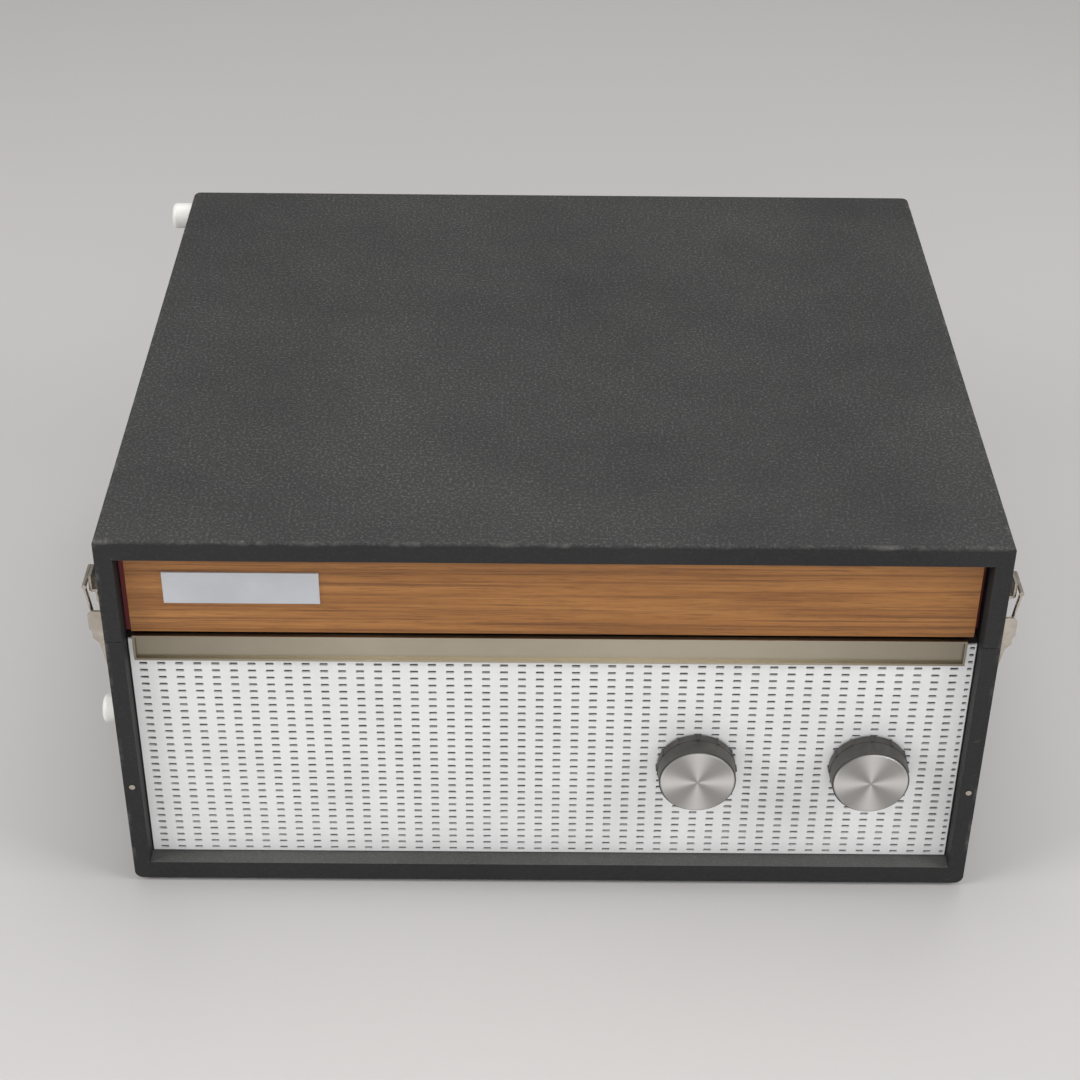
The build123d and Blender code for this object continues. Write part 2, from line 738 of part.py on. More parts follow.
# Latches: an eared plate and a lever with a wire loop on the base, a hook on the lid.
with BuildPart() as latch_plates:
    for side in (-1, 1):
        with BuildSketch(side_section(latch_y, side)):
            with BuildLine():
                Polyline(
                    (0, latch_pivot_z - latch_lever_length + 6),
                    (latch_plate_sheet, latch_pivot_z - latch_lever_length + 6),
                    (latch_plate_sheet, seam_height - 0.4),
                    (0, seam_height - 0.4),
                    close=True,
                )
            make_face()
        extrude(amount=latch_half_width + ear_gap + latch_plate_sheet, both=True)
        for cheek in (-1, 1):
            with BuildSketch(side_section(latch_y + cheek * (latch_half_width + ear_gap + latch_plate_sheet / 2), side)):
                with BuildLine():
                    Polyline(
                        (0, latch_pivot_z - ear_drop),
                        (ear_foot_out, latch_pivot_z - ear_drop),
                        (ear_out, latch_pivot_z - 3),
                        (ear_out, seam_height + ear_top_rise - 2),
                        (ear_out - 2, seam_height + ear_top_rise),
                        (3, seam_height + ear_top_rise),
                        (0.4, seam_height - 0.4),
                        (0, seam_height - 0.4),
                        close=True,
                    )
                make_face()
            extrude(amount=latch_plate_sheet / 2, both=True)
        with BuildSketch(side_section(latch_y, side)):
            with Locations((latch_pivot_out, latch_pivot_z)):
                Circle(latch_pin_radius)
        extrude(amount=latch_half_width + ear_gap + latch_plate_sheet, both=True)
finish_piece(latch_plates, "latch_plates")

with BuildPart() as latch_strikes:
    for side in (-1, 1):
        with BuildSketch(side_section(latch_y, side)):
            with Locations((0, lid_bottom + strike_rise)):
                Rectangle(latch_plate_sheet, strike_height, align=(Align.MIN, Align.MIN))
        extrude(amount=latch_half_width - 0.6, both=True)
        with BuildSketch(side_section(latch_y, side)):
            with BuildLine():
                Polyline(
                    (0.5, latch_bar_z - 5),
                    (hook_out - 1, latch_bar_z - 5),
                    (hook_out, latch_bar_z - 4),
                    (hook_out, latch_bar_z + 3.5),
                    (hook_out - hook_sheet, latch_bar_z + 3.5),
                    (hook_out - hook_sheet, latch_bar_z - 3.6),
                    (0.5, latch_bar_z - 3.6),
                    close=True,
                )
            make_face()
        extrude(amount=hook_half_width, both=True)
finish_piece(latch_strikes, "latch_strikes")

lever_foot_z = latch_pivot_z - latch_lever_length
for side_name, side in (("left", -1), ("right", 1)):
    with BuildPart() as latch_lever:
        with BuildSketch(side_section(latch_y, side)):
            with Locations((latch_pivot_out, latch_pivot_z)):
                Circle(lever_hub_radius)
            with BuildLine():
                Polyline(
                    (latch_plate_sheet + 0.4, latch_pivot_z),
                    (latch_plate_sheet + 0.4, lever_foot_z + 0.8),
                    (latch_plate_sheet + 1.6, lever_foot_z),
                    (latch_anchor_out - 0.4, latch_anchor_z - 4.5),
                    (latch_anchor_out + 2.3, latch_anchor_z - 1.5),
                    (latch_anchor_out + 2.4, latch_anchor_z + 1),
                    (latch_pivot_out + lever_hub_radius, latch_pivot_z),
                    close=True,
                )
            make_face()
        extrude(amount=latch_half_width, both=True)
        with BuildSketch(side_section(latch_y, side)):
            with BuildLine():
                Polyline(
                    (-1, latch_pivot_z + 6),
                    (14, latch_pivot_z + 6),
                    (14, latch_anchor_z - 3.5),
                    (latch_anchor_out - 1.4, latch_anchor_z - 4.2),
                    (latch_plate_sheet + 1.4, lever_foot_z + 2),
                    (-1, lever_foot_z + 2),
                    close=True,
                )
            make_face()
        extrude(amount=latch_half_width - latch_sheet, both=True, mode=Mode.SUBTRACT)
        with BuildSketch(side_section(latch_y, side)):
            with Locations((latch_pivot_out, latch_pivot_z)):
                Circle(latch_pin_radius + running_clearance)
            with Locations((latch_anchor_out, latch_anchor_z)):
                Circle(loop_wire_radius + running_clearance)
        extrude(amount=latch_half_width + 1, both=True, mode=Mode.SUBTRACT)
    finish_piece(latch_lever, "latch_lever_" + side_name)
    with BuildPart() as latch_loop:
        anchor_point = Vector(side * (half_width + latch_anchor_out), latch_y, latch_anchor_z)
        bar_point = Vector(side * (half_width + latch_bar_out), latch_y, latch_bar_z)
        for point, reach in ((anchor_point, latch_half_width), (bar_point, loop_half_width + loop_wire_radius)):
            with BuildSketch(Plane(origin=point, x_dir=(1, 0, 0), z_dir=(0, 1, 0))):
                Circle(loop_wire_radius)
            extrude(amount=reach, both=True)
        for leg in (-1, 1):
            leg_foot = anchor_point + Vector(0, leg * loop_half_width, 0)
            leg_run = bar_point - anchor_point
            with BuildSketch(Plane(origin=leg_foot, x_dir=(0, 1, 0), z_dir=leg_run)):
                Circle(loop_leg_radius)
            extrude(amount=leg_run.length)
    finish_piece(latch_loop, "latch_loop_" + side_name)

# Handle on the right side, hanging down in two lugged brackets.
bracket_y = handle_half_span + handle_gap + handle_bracket_width / 2
with BuildPart() as handle_brackets:
    for end in (-1, 1):
        with BuildSketch(side_plane(half_width)):
            with Locations((end * (handle_half_span - 2), handle_pivot_height)):
                RectangleRounded(bracket_plate_length, bracket_plate_height, bracket_plate_corner)
        extrude(amount=handle_bracket_sheet)
        with BuildSketch(Plane(origin=(half_width, end * bracket_y, 0), x_dir=(1, 0, 0), z_dir=(0, -1, 0))):
            with Locations((handle_pivot_out, handle_pivot_height)):
                Circle(handle_arm_thickness / 2)
            with Locations((0, handle_pivot_height)):
                Rectangle(handle_pivot_out, handle_arm_thickness, align=(Align.MIN, Align.CENTER))
        extrude(amount=handle_bracket_width / 2, both=True)
        pin_y = end * (handle_half_span - handle_arm_width / 2)
        with BuildSketch(Plane(origin=(handle_x, pin_y, 0), x_dir=(1, 0, 0), z_dir=(0, end, 0))):
            with Locations((0, -end * handle_pivot_height)):
                Circle(handle_pin_radius)
        extrude(amount=handle_arm_width / 2 + handle_gap + 1)
finish_piece(handle_brackets, "handle_brackets")

with BuildPart() as handle_grip:
    for end in (-1, 1):
        with BuildSketch(front_plane(end * handle_half_span)):
            with Locations((handle_x, handle_pivot_height)):
                Circle(handle_arm_thickness / 2)
                Rectangle(handle_arm_thickness, handle_drop - handle_grip_height / 2, align=(Align.CENTER, Align.MAX))
        extrude(amount=end * handle_arm_width)
    with BuildSketch(Plane(origin=(handle_x, 0, handle_pivot_height - handle_drop), x_dir=(0, 1, 0), z_dir=(1, 0, 0))):
        RectangleRounded(2 * handle_half_span, handle_grip_height, handle_corner)
    extrude(amount=handle_grip_thickness / 2, both=True)
    for end in (-1, 1):
        with BuildSketch(front_plane(end * handle_half_span)):
            with Locations((handle_x, handle_pivot_height)):
                Circle(handle_pin_radius + running_clearance)
        extrude(amount=end * (handle_arm_width / 2 + 0.3), mode=Mode.SUBTRACT)
finish_piece(handle_grip, "handle_grip")

# Motorboard, the battens that carry it, and rubber mounts for the deck.
board_depth = inner_rear_y - baffle_rear_y - 2 * board_edge_gap
mount_x = plate_width / 2 - mount_inset
mount_y = plate_depth / 2 - mount_inset
with BuildPart() as motorboard:
    with BuildSketch(Plane.XY.offset(board_bottom)):
        with Locations((0, (inner_rear_y + baffle_rear_y) / 2)):
            Rectangle(2 * (inner_x - board_edge_gap), board_depth)
        with Locations((0, plate_y)):
            Rectangle(plate_width - 2 * board_ledge, plate_depth - 2 * board_ledge, mode=Mode.SUBTRACT)
            with GridLocations(2 * mount_x, 2 * mount_y, 2, 2):
                Circle(deck_screw_radius + screw_clearance, mode=Mode.SUBTRACT)
    extrude(amount=board_thickness)
finish_piece(motorboard, "motorboard")

with BuildPart() as board_battens:
    with BuildSketch(Plane.XY.offset(board_bottom - batten_height)):
        for side in (-1, 1):
            with Locations((side * (inner_x - batten_width / 2), (inner_rear_y + baffle_rear_y) / 2)):
                Rectangle(batten_width, inner_rear_y - baffle_rear_y)
        with Locations((0, inner_rear_y - batten_width / 2)):
            Rectangle(2 * (inner_x - batten_width - board_edge_gap), batten_width)
    extrude(amount=batten_height)
finish_piece(board_battens, "board_battens")

with BuildPart() as deck_mounts:
    with BuildSketch(Plane.XY.offset(board_top)):
        with Locations((0, plate_y)):
            with GridLocations(2 * mount_x, 2 * mount_y, 2, 2):
                Circle(mount_radius)
                Circle(deck_screw_radius + screw_clearance, mode=Mode.SUBTRACT)
    extrude(amount=mount_height)
finish_piece(deck_mounts, "deck_mounts")

with BuildPart() as deck_screws:
    with BuildSketch(Plane.XY.offset(plate_top)):
        with Locations((0, plate_y)):
            with GridLocations(2 * mount_x, 2 * mount_y, 2, 2):
                Circle(screw_head_radius)
    extrude(amount=screw_head_height)
    with BuildSketch(Plane.XY.offset(board_bottom - 4)):
        with Locations((0, plate_y)):
            with GridLocations(2 * mount_x, 2 * mount_y, 2, 2):
                Circle(deck_screw_radius)
    extrude(amount=plate_top - board_bottom + 4)
    with BuildSketch(Plane.XY.offset(board_bottom - 3)):
        with Locations((0, plate_y)):
            with GridLocations(2 * mount_x, 2 * mount_y, 2, 2):
                RegularPolygon(screw_head_radius, 6)
    extrude(amount=3)
finish_piece(deck_screws, "deck_screws")

# Pressed unit plate with a turned-down rim, and the stud of the idler arm.
speed_x = plate_width / 2 - speed_from_plate_right
speed_y = plate_y - plate_depth / 2 + speed_from_plate_front
lever_x = plate_width / 2 - lever_from_plate_right
lever_y = plate_y - plate_depth / 2 + lever_from_plate_front
rest_x = arm_x + arm_tube_radius + rest_sheet + rest_gap + 3
rest_y = arm_y - rest_from_pivot
with BuildPart() as unit_plate:
    with BuildSketch(Plane.XY.offset(plate_top - plate_skirt)):
        with Locations((0, plate_y)):
            RectangleRounded(plate_width, plate_depth, plate_corner_radius)
    extrude(amount=plate_skirt)
    fillet(unit_plate.edges().group_by(Axis.Z)[-1], plate_thickness / 2)
    with BuildSketch(Plane.XY.offset(plate_top - plate_skirt)):
        with Locations((0, plate_y)):
            RectangleRounded(plate_width - 2 * plate_thickness, plate_depth - 2 * plate_thickness, plate_corner_radius - plate_thickness)
    extrude(amount=plate_skirt - plate_thickness, mode=Mode.SUBTRACT)
    with BuildSketch(Plane.XY.offset(plate_bottom)):
        with Locations((platter_x, platter_y)):
            Circle(spigot_radius + running_clearance)
        with Locations((motor_x, motor_y)):
            Circle(pulley_radii[0] + 3)
        with Locations((speed_x, speed_y), (lever_x, lever_y)):
            Circle(shaft_radius + running_clearance)
        with Locations((0, plate_y)):
            with GridLocations(2 * mount_x, 2 * mount_y, 2, 2):
                Circle(deck_screw_radius + screw_clearance)
    extrude(amount=plate_thickness, mode=Mode.SUBTRACT)
    with BuildSketch(Plane.XY.offset(plate_bottom)):
        with Locations((idler_pivot_x, idler_pivot_y)):
            Circle(idler_stud_radius)
    extrude(amount=plate_thickness + idler_arm_gap + 4)
finish_piece(unit_plate, "unit_plate")

# Fixed post that the platter turns on, with the record spindle on top.
with BuildPart() as spindle_post:
    with BuildSketch(Plane(origin=(platter_x, platter_y, 0), x_dir=(1, 0, 0), z_dir=(0, -1, 0))):
        with BuildLine():
            Polyline(
                (0, plate_bottom - 3),
                (spigot_radius, plate_bottom - 3),
                (spigot_radius, plate_top),
                (post_flange_radius, plate_top),
                (post_flange_radius, plate_top + post_flange),
                (post_radius, plate_top + post_flange),
                (post_radius, pin_root_z),
                (spindle_root_radius, pin_root_z),
                (spindle_root_radius, mat_top + 0.2),
                (spindle_radius, mat_top + 0.2),
                (spindle_radius, mat_top + spindle_rise),
                (spindle_radius / 2, mat_top + spindle_rise + 2),
                (0, mat_top + spindle_rise + 2.4),
                close=True,
            )
        make_face()
    revolve(axis=Axis((platter_x, platter_y, 0), (0, 0, 1)))
finish_piece(spindle_post, "spindle_post")

# Platter with its drive rim, and the ribbed mat on it.
with BuildPart() as platter:
    with BuildSketch(Plane(origin=(platter_x, platter_y, 0), x_dir=(1, 0, 0), z_dir=(0, -1, 0))):
        with BuildLine():
            Polyline(
                (post_radius + running_clearance, plate_top + post_flange + 0.4),
                (hub_radius, plate_top + post_flange + 0.4),
                (hub_radius, disc_bottom),
                (rim_inner_radius, disc_bottom),
                (rim_inner_radius, platter_bottom),
                (platter_radius, platter_bottom),
                (platter_radius, platter_top),
                (post_radius + running_clearance, platter_top),
                close=True,
            )
        make_face()
    revolve(axis=Axis((platter_x, platter_y, 0), (0, 0, 1)))
finish_piece(platter, "platter")

with BuildPart() as platter_mat:
    with BuildSketch(Plane.XY.offset(platter_top)):
        with Locations((platter_x, platter_y)):
            Circle(platter_radius - mat_edge)
            Circle(spindle_root_radius + mat_hole_clearance, mode=Mode.SUBTRACT)
    extrude(amount=mat_thickness)
finish_piece(platter_mat, "platter_mat")

# Idler wheel between the platter's rim and the motor's pulley.
with BuildPart() as idler_arm:
    with BuildSketch(Plane.XY.offset(plate_top + idler_arm_gap)):
        with Locations(Location(((idler_x + idler_pivot_x) / 2, (idler_y + idler_pivot_y) / 2), idler_arm_angle)):
            SlotCenterToCenter(idler_arm_length, 2 * idler_arm_half_width)
        with Locations((idler_pivot_x, idler_pivot_y)):
            Circle(idler_stud_radius + running_clearance, mode=Mode.SUBTRACT)
    extrude(amount=idler_arm_sheet)
    with BuildSketch(Plane.XY.offset(plate_top + idler_arm_gap)):
        with Locations((idler_x, idler_y)):
            Circle(idler_pin_radius)
    extrude(amount=idler_z + idler_thickness + 1 - plate_top - idler_arm_gap)
    with BuildSketch(Plane.XY.offset(plate_top + idler_arm_gap)):
        with Locations((idler_x, idler_y)):
            Circle(idler_pin_radius + 1.5)
    extrude(amount=idler_z - 0.3 - plate_top - idler_arm_gap)
finish_piece(idler_arm, "idler_arm")

with BuildPart() as idler_wheel:
    with BuildSketch(Plane.XY.offset(idler_z)):
        with Locations((idler_x, idler_y)):
            Circle(idler_radius)
            Circle(idler_pin_radius + running_clearance, mode=Mode.SUBTRACT)
    extrude(amount=idler_thickness)
finish_piece(idler_wheel, "idler_wheel")

# Motor: stator with its coil, two bearing bridges, and the rotor with its stepped pulley.
stator_top = plate_bottom - stator_drop
stator_bottom = stator_top - stator_height
leg_x = motor_x + stator_reach - coil_leg / 2
with BuildPart() as motor_stator:
    with BuildSketch(Plane.XY.offset(stator_bottom)):
        with Locations((motor_x + (stator_reach - stator_back) / 2, motor_y)):
            Rectangle(stator_reach + stator_back, 2 * stator_half_depth)
        with Locations((motor_x, motor_y)):
            Circle(rotor_radius + rotor_gap, mode=Mode.SUBTRACT)
        with Locations((leg_x - coil_leg / 2, motor_y)):
            Rectangle(coil_build + coil_gap, 2 * stator_half_depth - 2 * coil_leg, align=(Align.MAX, Align.CENTER), mode=Mode.SUBTRACT)
    extrude(amount=stator_height)
finish_piece(motor_stator, "motor_stator")

with BuildPart() as motor_coil:
    with BuildSketch(Plane.XY.offset(stator_bottom - coil_build)):
        with Locations((leg_x, motor_y)):
            Rectangle(coil_leg + 2 * coil_build, 2 * (stator_half_depth - coil_leg - coil_gap))
    extrude(amount=stator_height + 2 * coil_build)
    with BuildSketch(Plane.XY.offset(stator_bottom)):
        with Locations((leg_x, motor_y)):
            Rectangle(coil_leg, 2 * stator_half_depth)
    extrude(amount=stator_height, mode=Mode.SUBTRACT)
finish_piece(motor_coil, "motor_coil")

motor_post_y = stator_half_depth - motor_post_radius - 0.5
with BuildPart() as motor_brackets:
    for bridge_z in (stator_top + bridge_gap, stator_bottom - bridge_gap - bridge_sheet):
        with BuildSketch(Plane.XY.offset(bridge_z)):
            with Locations((motor_x, motor_y)):
                Rectangle(2 * bridge_half_width, 2 * stator_half_depth)
                Circle(motor_shaft_radius + running_clearance, mode=Mode.SUBTRACT)
        extrude(amount=bridge_sheet)
    for post_z, post_length in ((stator_top, plate_bottom - stator_top), (stator_bottom - bridge_gap - bridge_sheet, bridge_gap + bridge_sheet)):
        with BuildSketch(Plane.XY.offset(post_z)):
            for post_side in (-1, 1):
                with Locations((motor_x, motor_y + post_side * motor_post_y)):
                    Circle(motor_post_radius)
        extrude(amount=post_length)
finish_piece(motor_brackets, "motor_brackets")

with BuildPart() as motor_rotor:
    with BuildSketch(Plane.XY.offset(stator_bottom)):
        with Locations((motor_x, motor_y)):
            Circle(rotor_radius)
    extrude(amount=stator_height)
    with BuildSketch(Plane.XY.offset(stator_bottom - bridge_gap - bridge_sheet)):
        with Locations((motor_x, motor_y)):
            Circle(motor_shaft_radius)
    extrude(amount=pulley_base - stator_bottom + bridge_gap + bridge_sheet)
    for step, radius in enumerate(pulley_radii):
        with BuildSketch(Plane.XY.offset(pulley_base + step * pulley_step_height)):
            with Locations((motor_x, motor_y)):
                Circle(radius)
        extrude(amount=pulley_step_height)
finish_piece(motor_rotor, "motor_rotor")

# Pickup arm: pedestal, gimbal, tube with head and weight, cartridge, stylus and rest.
with BuildPart() as arm_pedestal:
    with BuildSketch(Plane.XY.offset(plate_top)):
        with Locations((arm_x, arm_y)):
            Circle(pedestal_radius)
    extrude(amount=pedestal_height)
    with BuildSketch(Plane.XY.offset(plate_top + 4)):
        with Locations((arm_x, arm_y)):
            Circle(gimbal_shaft_radius + running_clearance)
    extrude(amount=pedestal_height - 4, mode=Mode.SUBTRACT)
finish_piece(arm_pedestal, "arm_pedestal")

ear_x = arm_block_half_width + arm_ear_clearance
gimbal_top = pedestal_top + gimbal_gap + gimbal_disc
with BuildPart() as arm_gimbal:
    with BuildSketch(Plane.XY.offset(plate_top + 5)):
        with Locations((arm_x, arm_y)):
            Circle(gimbal_shaft_radius)
    extrude(amount=gimbal_top - plate_top - 5)
    with BuildSketch(Plane.XY.offset(pedestal_top + gimbal_gap)):
        with Locations((arm_x, arm_y)):
            Circle(pedestal_radius)
    extrude(amount=gimbal_disc)
    for ear in (-1, 1):
        with BuildSketch(side_plane(arm_x + ear * (ear_x + gimbal_ear / 2))):
            with Locations((arm_y, gimbal_top - 0.5)):
                Rectangle(2 * gimbal_ear_half_depth, arm_z + 4 - gimbal_top, align=(Align.CENTER, Align.MIN))
        extrude(amount=gimbal_ear / 2, both=True)
        with BuildSketch(side_plane(arm_x + ear * (arm_block_half_width - 2.5))):
            with Locations((arm_y, arm_z)):
                Circle(arm_pin_radius)
        extrude(amount=ear * (arm_ear_clearance + 3.5))
finish_piece(arm_gimbal, "arm_gimbal")

head_rear_y = stylus_y - head_beyond_stylus + head_length
with BuildPart() as tonearm:
    with Locations((arm_x, arm_y, arm_z)):
        Box(2 * arm_block_half_width, 2 * arm_block_half_length, 2 * arm_block_half_height)
    with BuildSketch(front_plane(arm_y)):
        with Locations((arm_x, arm_z)):
            Circle(arm_tube_radius)
    extrude(amount=arm_y - head_rear_y + 3)
    with BuildSketch(front_plane(head_rear_y)):
        with Locations((arm_x, arm_z)):
            RectangleRounded(head_width, head_height, 3)
    extrude(amount=head_length)
    for ear in (-1, 1):
        with BuildSketch(side_plane(arm_x + ear * (arm_block_half_width - 3))):
            with Locations((arm_y, arm_z)):
                Circle(arm_pin_radius + running_clearance)
        extrude(amount=ear * 4, mode=Mode.SUBTRACT)
finish_piece(tonearm, "tonearm")

with BuildPart() as arm_weight:
    with BuildSketch(front_plane(arm_y + arm_block_half_length)):
        with Locations((arm_x, arm_z)):
            Circle(arm_tube_radius)
    extrude(amount=arm_block_half_length - weight_behind_pivot - 1)
    with BuildSketch(front_plane(arm_y + weight_behind_pivot)):
        with Locations((arm_x, arm_z)):
            Circle(weight_radius)
    extrude(amount=-weight_length)
finish_piece(arm_weight, "arm_weight")

with BuildPart() as cartridge:
    with BuildSketch(Plane.XY.offset(arm_z - head_height / 2)):
        with Locations((arm_x, stylus_y)):
            Rectangle(cartridge_width, cartridge_length)
    extrude(amount=-cartridge_height)
finish_piece(cartridge, "cartridge")

with BuildPart() as stylus:
    with BuildSketch(Plane.XY.offset(arm_z - head_height / 2 - cartridge_height)):
        with Locations((arm_x, stylus_y)):
            Circle(1.2)
    with BuildSketch(Plane.XY.offset(mat_top + stylus_clearance)):
        with Locations((arm_x, stylus_y)):
            Circle(0.4)
    loft()
finish_piece(stylus, "stylus")

with BuildPart() as arm_rest:
    with BuildSketch(front_plane(rest_y)):
        with BuildLine():
            Polyline(
                (rest_x - 3, plate_top),
                (rest_x + 3, plate_top),
                (rest_x + 3, arm_z - arm_tube_radius - rest_gap),
                (rest_x, arm_z),
                (rest_x - rest_sheet, arm_z),
                (rest_x - rest_sheet, arm_z - arm_tube_radius - rest_gap),
                (arm_x - arm_tube_radius, arm_z - arm_tube_radius - rest_gap),
                (arm_x - arm_tube_radius, arm_z - arm_tube_radius - rest_gap - rest_sheet),
                (rest_x - 3, arm_z - arm_tube_radius - rest_gap - rest_sheet - 6),
                close=True,
            )
        make_face()
    extrude(amount=4, both=True)
finish_piece(arm_rest, "arm_rest")

# Speed knob and on-off lever at the front of the plate.
with BuildPart() as speed_knob:
    with BuildSketch(Plane.XY.offset(board_top + 0.8)):
        with Locations((speed_x, speed_y)):
            Circle(shaft_radius)
    extrude(amount=plate_top + control_gap - board_top)
    with BuildSketch(Plane.XY.offset(plate_top + control_gap)):
        with Locations((speed_x, speed_y)):
            Circle(speed_knob_radius)
    extrude(amount=speed_knob_height)
    chamfer(speed_knob.edges().group_by(Axis.Z)[-1], 1.2)
finish_piece(speed_knob, "speed_knob")

with BuildPart() as control_lever:
    with BuildSketch(Plane.XY.offset(board_top + 0.8)):
        with Locations((lever_x, lever_y)):
            Circle(shaft_radius)
    extrude(amount=plate_top + control_gap - board_top)
    with BuildSketch(Plane.XY.offset(plate_top + control_gap)):
        with Locations((lever_x - lever_length / 2, lever_y)):
            SlotCenterToCenter(lever_length, 2 * lever_half_width)
    extrude(amount=lever_sheet)
    with BuildSketch(Plane.XY.offset(plate_top + control_gap + lever_sheet)):
        with Locations((lever_x - lever_length, lever_y)):
            Circle(lever_half_width)
    extrude(amount=lever_knob_radius)
finish_piece(control_lever, "control_lever")

# Amplifier on the floor behind the controls.
chassis_y = baffle_rear_y + chassis_behind_baffle
with BuildPart() as amp_chassis:
    with BuildSketch(front_plane(chassis_y - chassis_depth / 2)):
        with Locations((chassis_from_middle, floor_top)):
            Rectangle(chassis_width, chassis_height, align=(Align.CENTER, Align.MIN))
            Rectangle(chassis_width - 2 * chassis_sheet, chassis_height - chassis_sheet, align=(Align.CENTER, Align.MIN), mode=Mode.SUBTRACT)
    extrude(amount=-chassis_depth)
    with BuildSketch(Plane.XY.offset(floor_top + chassis_height)):
        with Locations((chassis_from_middle, chassis_y)):
            with GridLocations(valve_spacing, 1, 2, 1):
                Circle(socket_radius)
    extrude(amount=socket_height)
finish_piece(amp_chassis, "amp_chassis")

with BuildPart() as valves:
    with BuildSketch(Plane.XY.offset(floor_top + chassis_height + socket_height)):
        with Locations((chassis_from_middle, chassis_y)):
            with GridLocations(valve_spacing, 1, 2, 1):
                Circle(valve_radius)
    extrude(amount=valve_height)
    fillet(valves.edges().group_by(Axis.Z)[-1], valve_radius * 0.6)
finish_piece(valves, "valves")

with BuildPart() as output_transformer:
    with Locations((transformer_from_middle, baffle_rear_y + transformer_behind_baffle, floor_top)):
        Box(transformer_width, transformer_depth * 0.6, transformer_height, align=(Align.CENTER, Align.CENTER, Align.MIN))
    with Locations((transformer_from_middle, baffle_rear_y + transformer_behind_baffle, floor_top + transformer_yoke)):
        Box(transformer_width * 0.55, transformer_depth, transformer_height - 2 * transformer_yoke, align=(Align.CENTER, Align.CENTER, Align.MIN))
finish_piece(output_transformer, "output_transformer")

with BuildPart() as smoothing_capacitor:
    with BuildSketch(Plane.XY.offset(floor_top)):
        with Locations((capacitor_from_middle, baffle_rear_y + capacitor_behind_baffle)):
            Circle(capacitor_radius)
    extrude(amount=capacitor_height)
    chamfer(smoothing_capacitor.edges().group_by(Axis.Z)[-1], 1)
finish_piece(smoothing_capacitor, "smoothing_capacitor")
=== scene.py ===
# %% [markdown]
# A portable record player in a case covered with black leathercloth. The solid
# model comes first, as a fixed frame: every finish and every finer piece below
# is laid on it in metres, and nothing of it is moved.

# %% Load the frame
from math import cos, pi, radians, sin

import bmesh
import bpy
from mathutils import Matrix, Vector


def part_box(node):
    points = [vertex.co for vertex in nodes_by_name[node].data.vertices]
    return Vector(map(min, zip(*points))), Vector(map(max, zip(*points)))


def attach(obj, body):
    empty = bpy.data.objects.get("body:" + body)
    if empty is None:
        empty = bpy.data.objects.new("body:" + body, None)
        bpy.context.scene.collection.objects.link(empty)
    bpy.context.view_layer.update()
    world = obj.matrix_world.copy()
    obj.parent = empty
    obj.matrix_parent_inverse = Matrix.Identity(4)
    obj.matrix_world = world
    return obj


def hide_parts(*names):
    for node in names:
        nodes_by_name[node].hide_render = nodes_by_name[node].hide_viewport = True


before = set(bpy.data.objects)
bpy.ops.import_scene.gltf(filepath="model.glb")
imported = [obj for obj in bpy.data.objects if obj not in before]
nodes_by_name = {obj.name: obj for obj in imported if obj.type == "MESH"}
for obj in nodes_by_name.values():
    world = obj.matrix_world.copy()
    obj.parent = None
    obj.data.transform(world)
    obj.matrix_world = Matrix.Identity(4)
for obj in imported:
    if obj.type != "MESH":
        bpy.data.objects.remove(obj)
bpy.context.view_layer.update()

# %% [markdown]
# The camera stands in front of the case, a little left of its middle, and
# looks down on it with a long lens. Yaw, pitch and roll are turned into the
# three axes of the camera, so that the framing can be read off in degrees.

# %% Camera
camera_place = Vector((-0.01101, -0.93710, 0.73670))
camera_yaw, camera_pitch, camera_roll = radians(0.349), radians(34.90), radians(0.635)
ahead = Vector(
    (sin(camera_yaw) * cos(camera_pitch), cos(camera_yaw) * cos(camera_pitch), -sin(camera_pitch))
)
level = Vector((cos(camera_yaw), -sin(camera_yaw), 0))
above = level.cross(ahead)
right = cos(camera_roll) * level + sin(camera_roll) * above
upward = -sin(camera_roll) * level + cos(camera_roll) * above
camera_data = bpy.data.cameras.new("studio_camera")
camera_data.sensor_width = 36.0
camera_data.lens = 72.19
camera = bpy.data.objects.new("studio_camera", camera_data)
bpy.context.scene.collection.objects.link(camera)
turn = Matrix((right, upward, -ahead)).transposed()
camera.matrix_world = Matrix.Translation(camera_place) @ turn.to_4x4()
bpy.context.scene.camera = camera
print("camera at", tuple(round(value, 4) for value in camera.location))

# %% [markdown]
# Plain soft studio light: one large lamp overhead, one on each side and a
# weaker one from the front. The floor and the world are pale and plain.

# %% Lamps, world and floor
bpy.context.scene.view_settings.view_transform = "Standard"


def soft_lamp(name, place, aim, size, power):
    """A square lamp that faces a point."""
    data = bpy.data.lights.new(name, "AREA")
    data.shape = "SQUARE"
    data.size = size
    data.energy = power
    lamp = bpy.data.objects.new(name, data)
    bpy.context.scene.collection.objects.link(lamp)
    toward = Vector(aim) - Vector(place)
    lamp.matrix_world = Matrix.Translation(place) @ toward.to_track_quat("-Z", "Y").to_matrix().to_4x4(

    )
    return lamp


soft_lamp("lamp_left", (-1.5, -0.7, 1.1), (0, 0, 0.08), 0.9, 16)
soft_lamp("lamp_right", (1.5, -0.6, 1.1), (0, 0, 0.08), 0.9, 14)
soft_lamp("lamp_over", (0.1, 0.4, 1.9), (0, 0, 0.1), 1.2, 14)
soft_lamp("lamp_front", (0.0, -1.9, 0.9), (0, 0, 0.08), 0.9, 10)

world = bpy.data.worlds.new("studio_world")
bpy.context.scene.world = world
world.use_nodes = True
world.node_tree.nodes["Background"].inputs["Color"].default_value = (0.80, 0.79, 0.78, 1)
world.node_tree.nodes["Background"].inputs["Strength"].default_value = 0.42

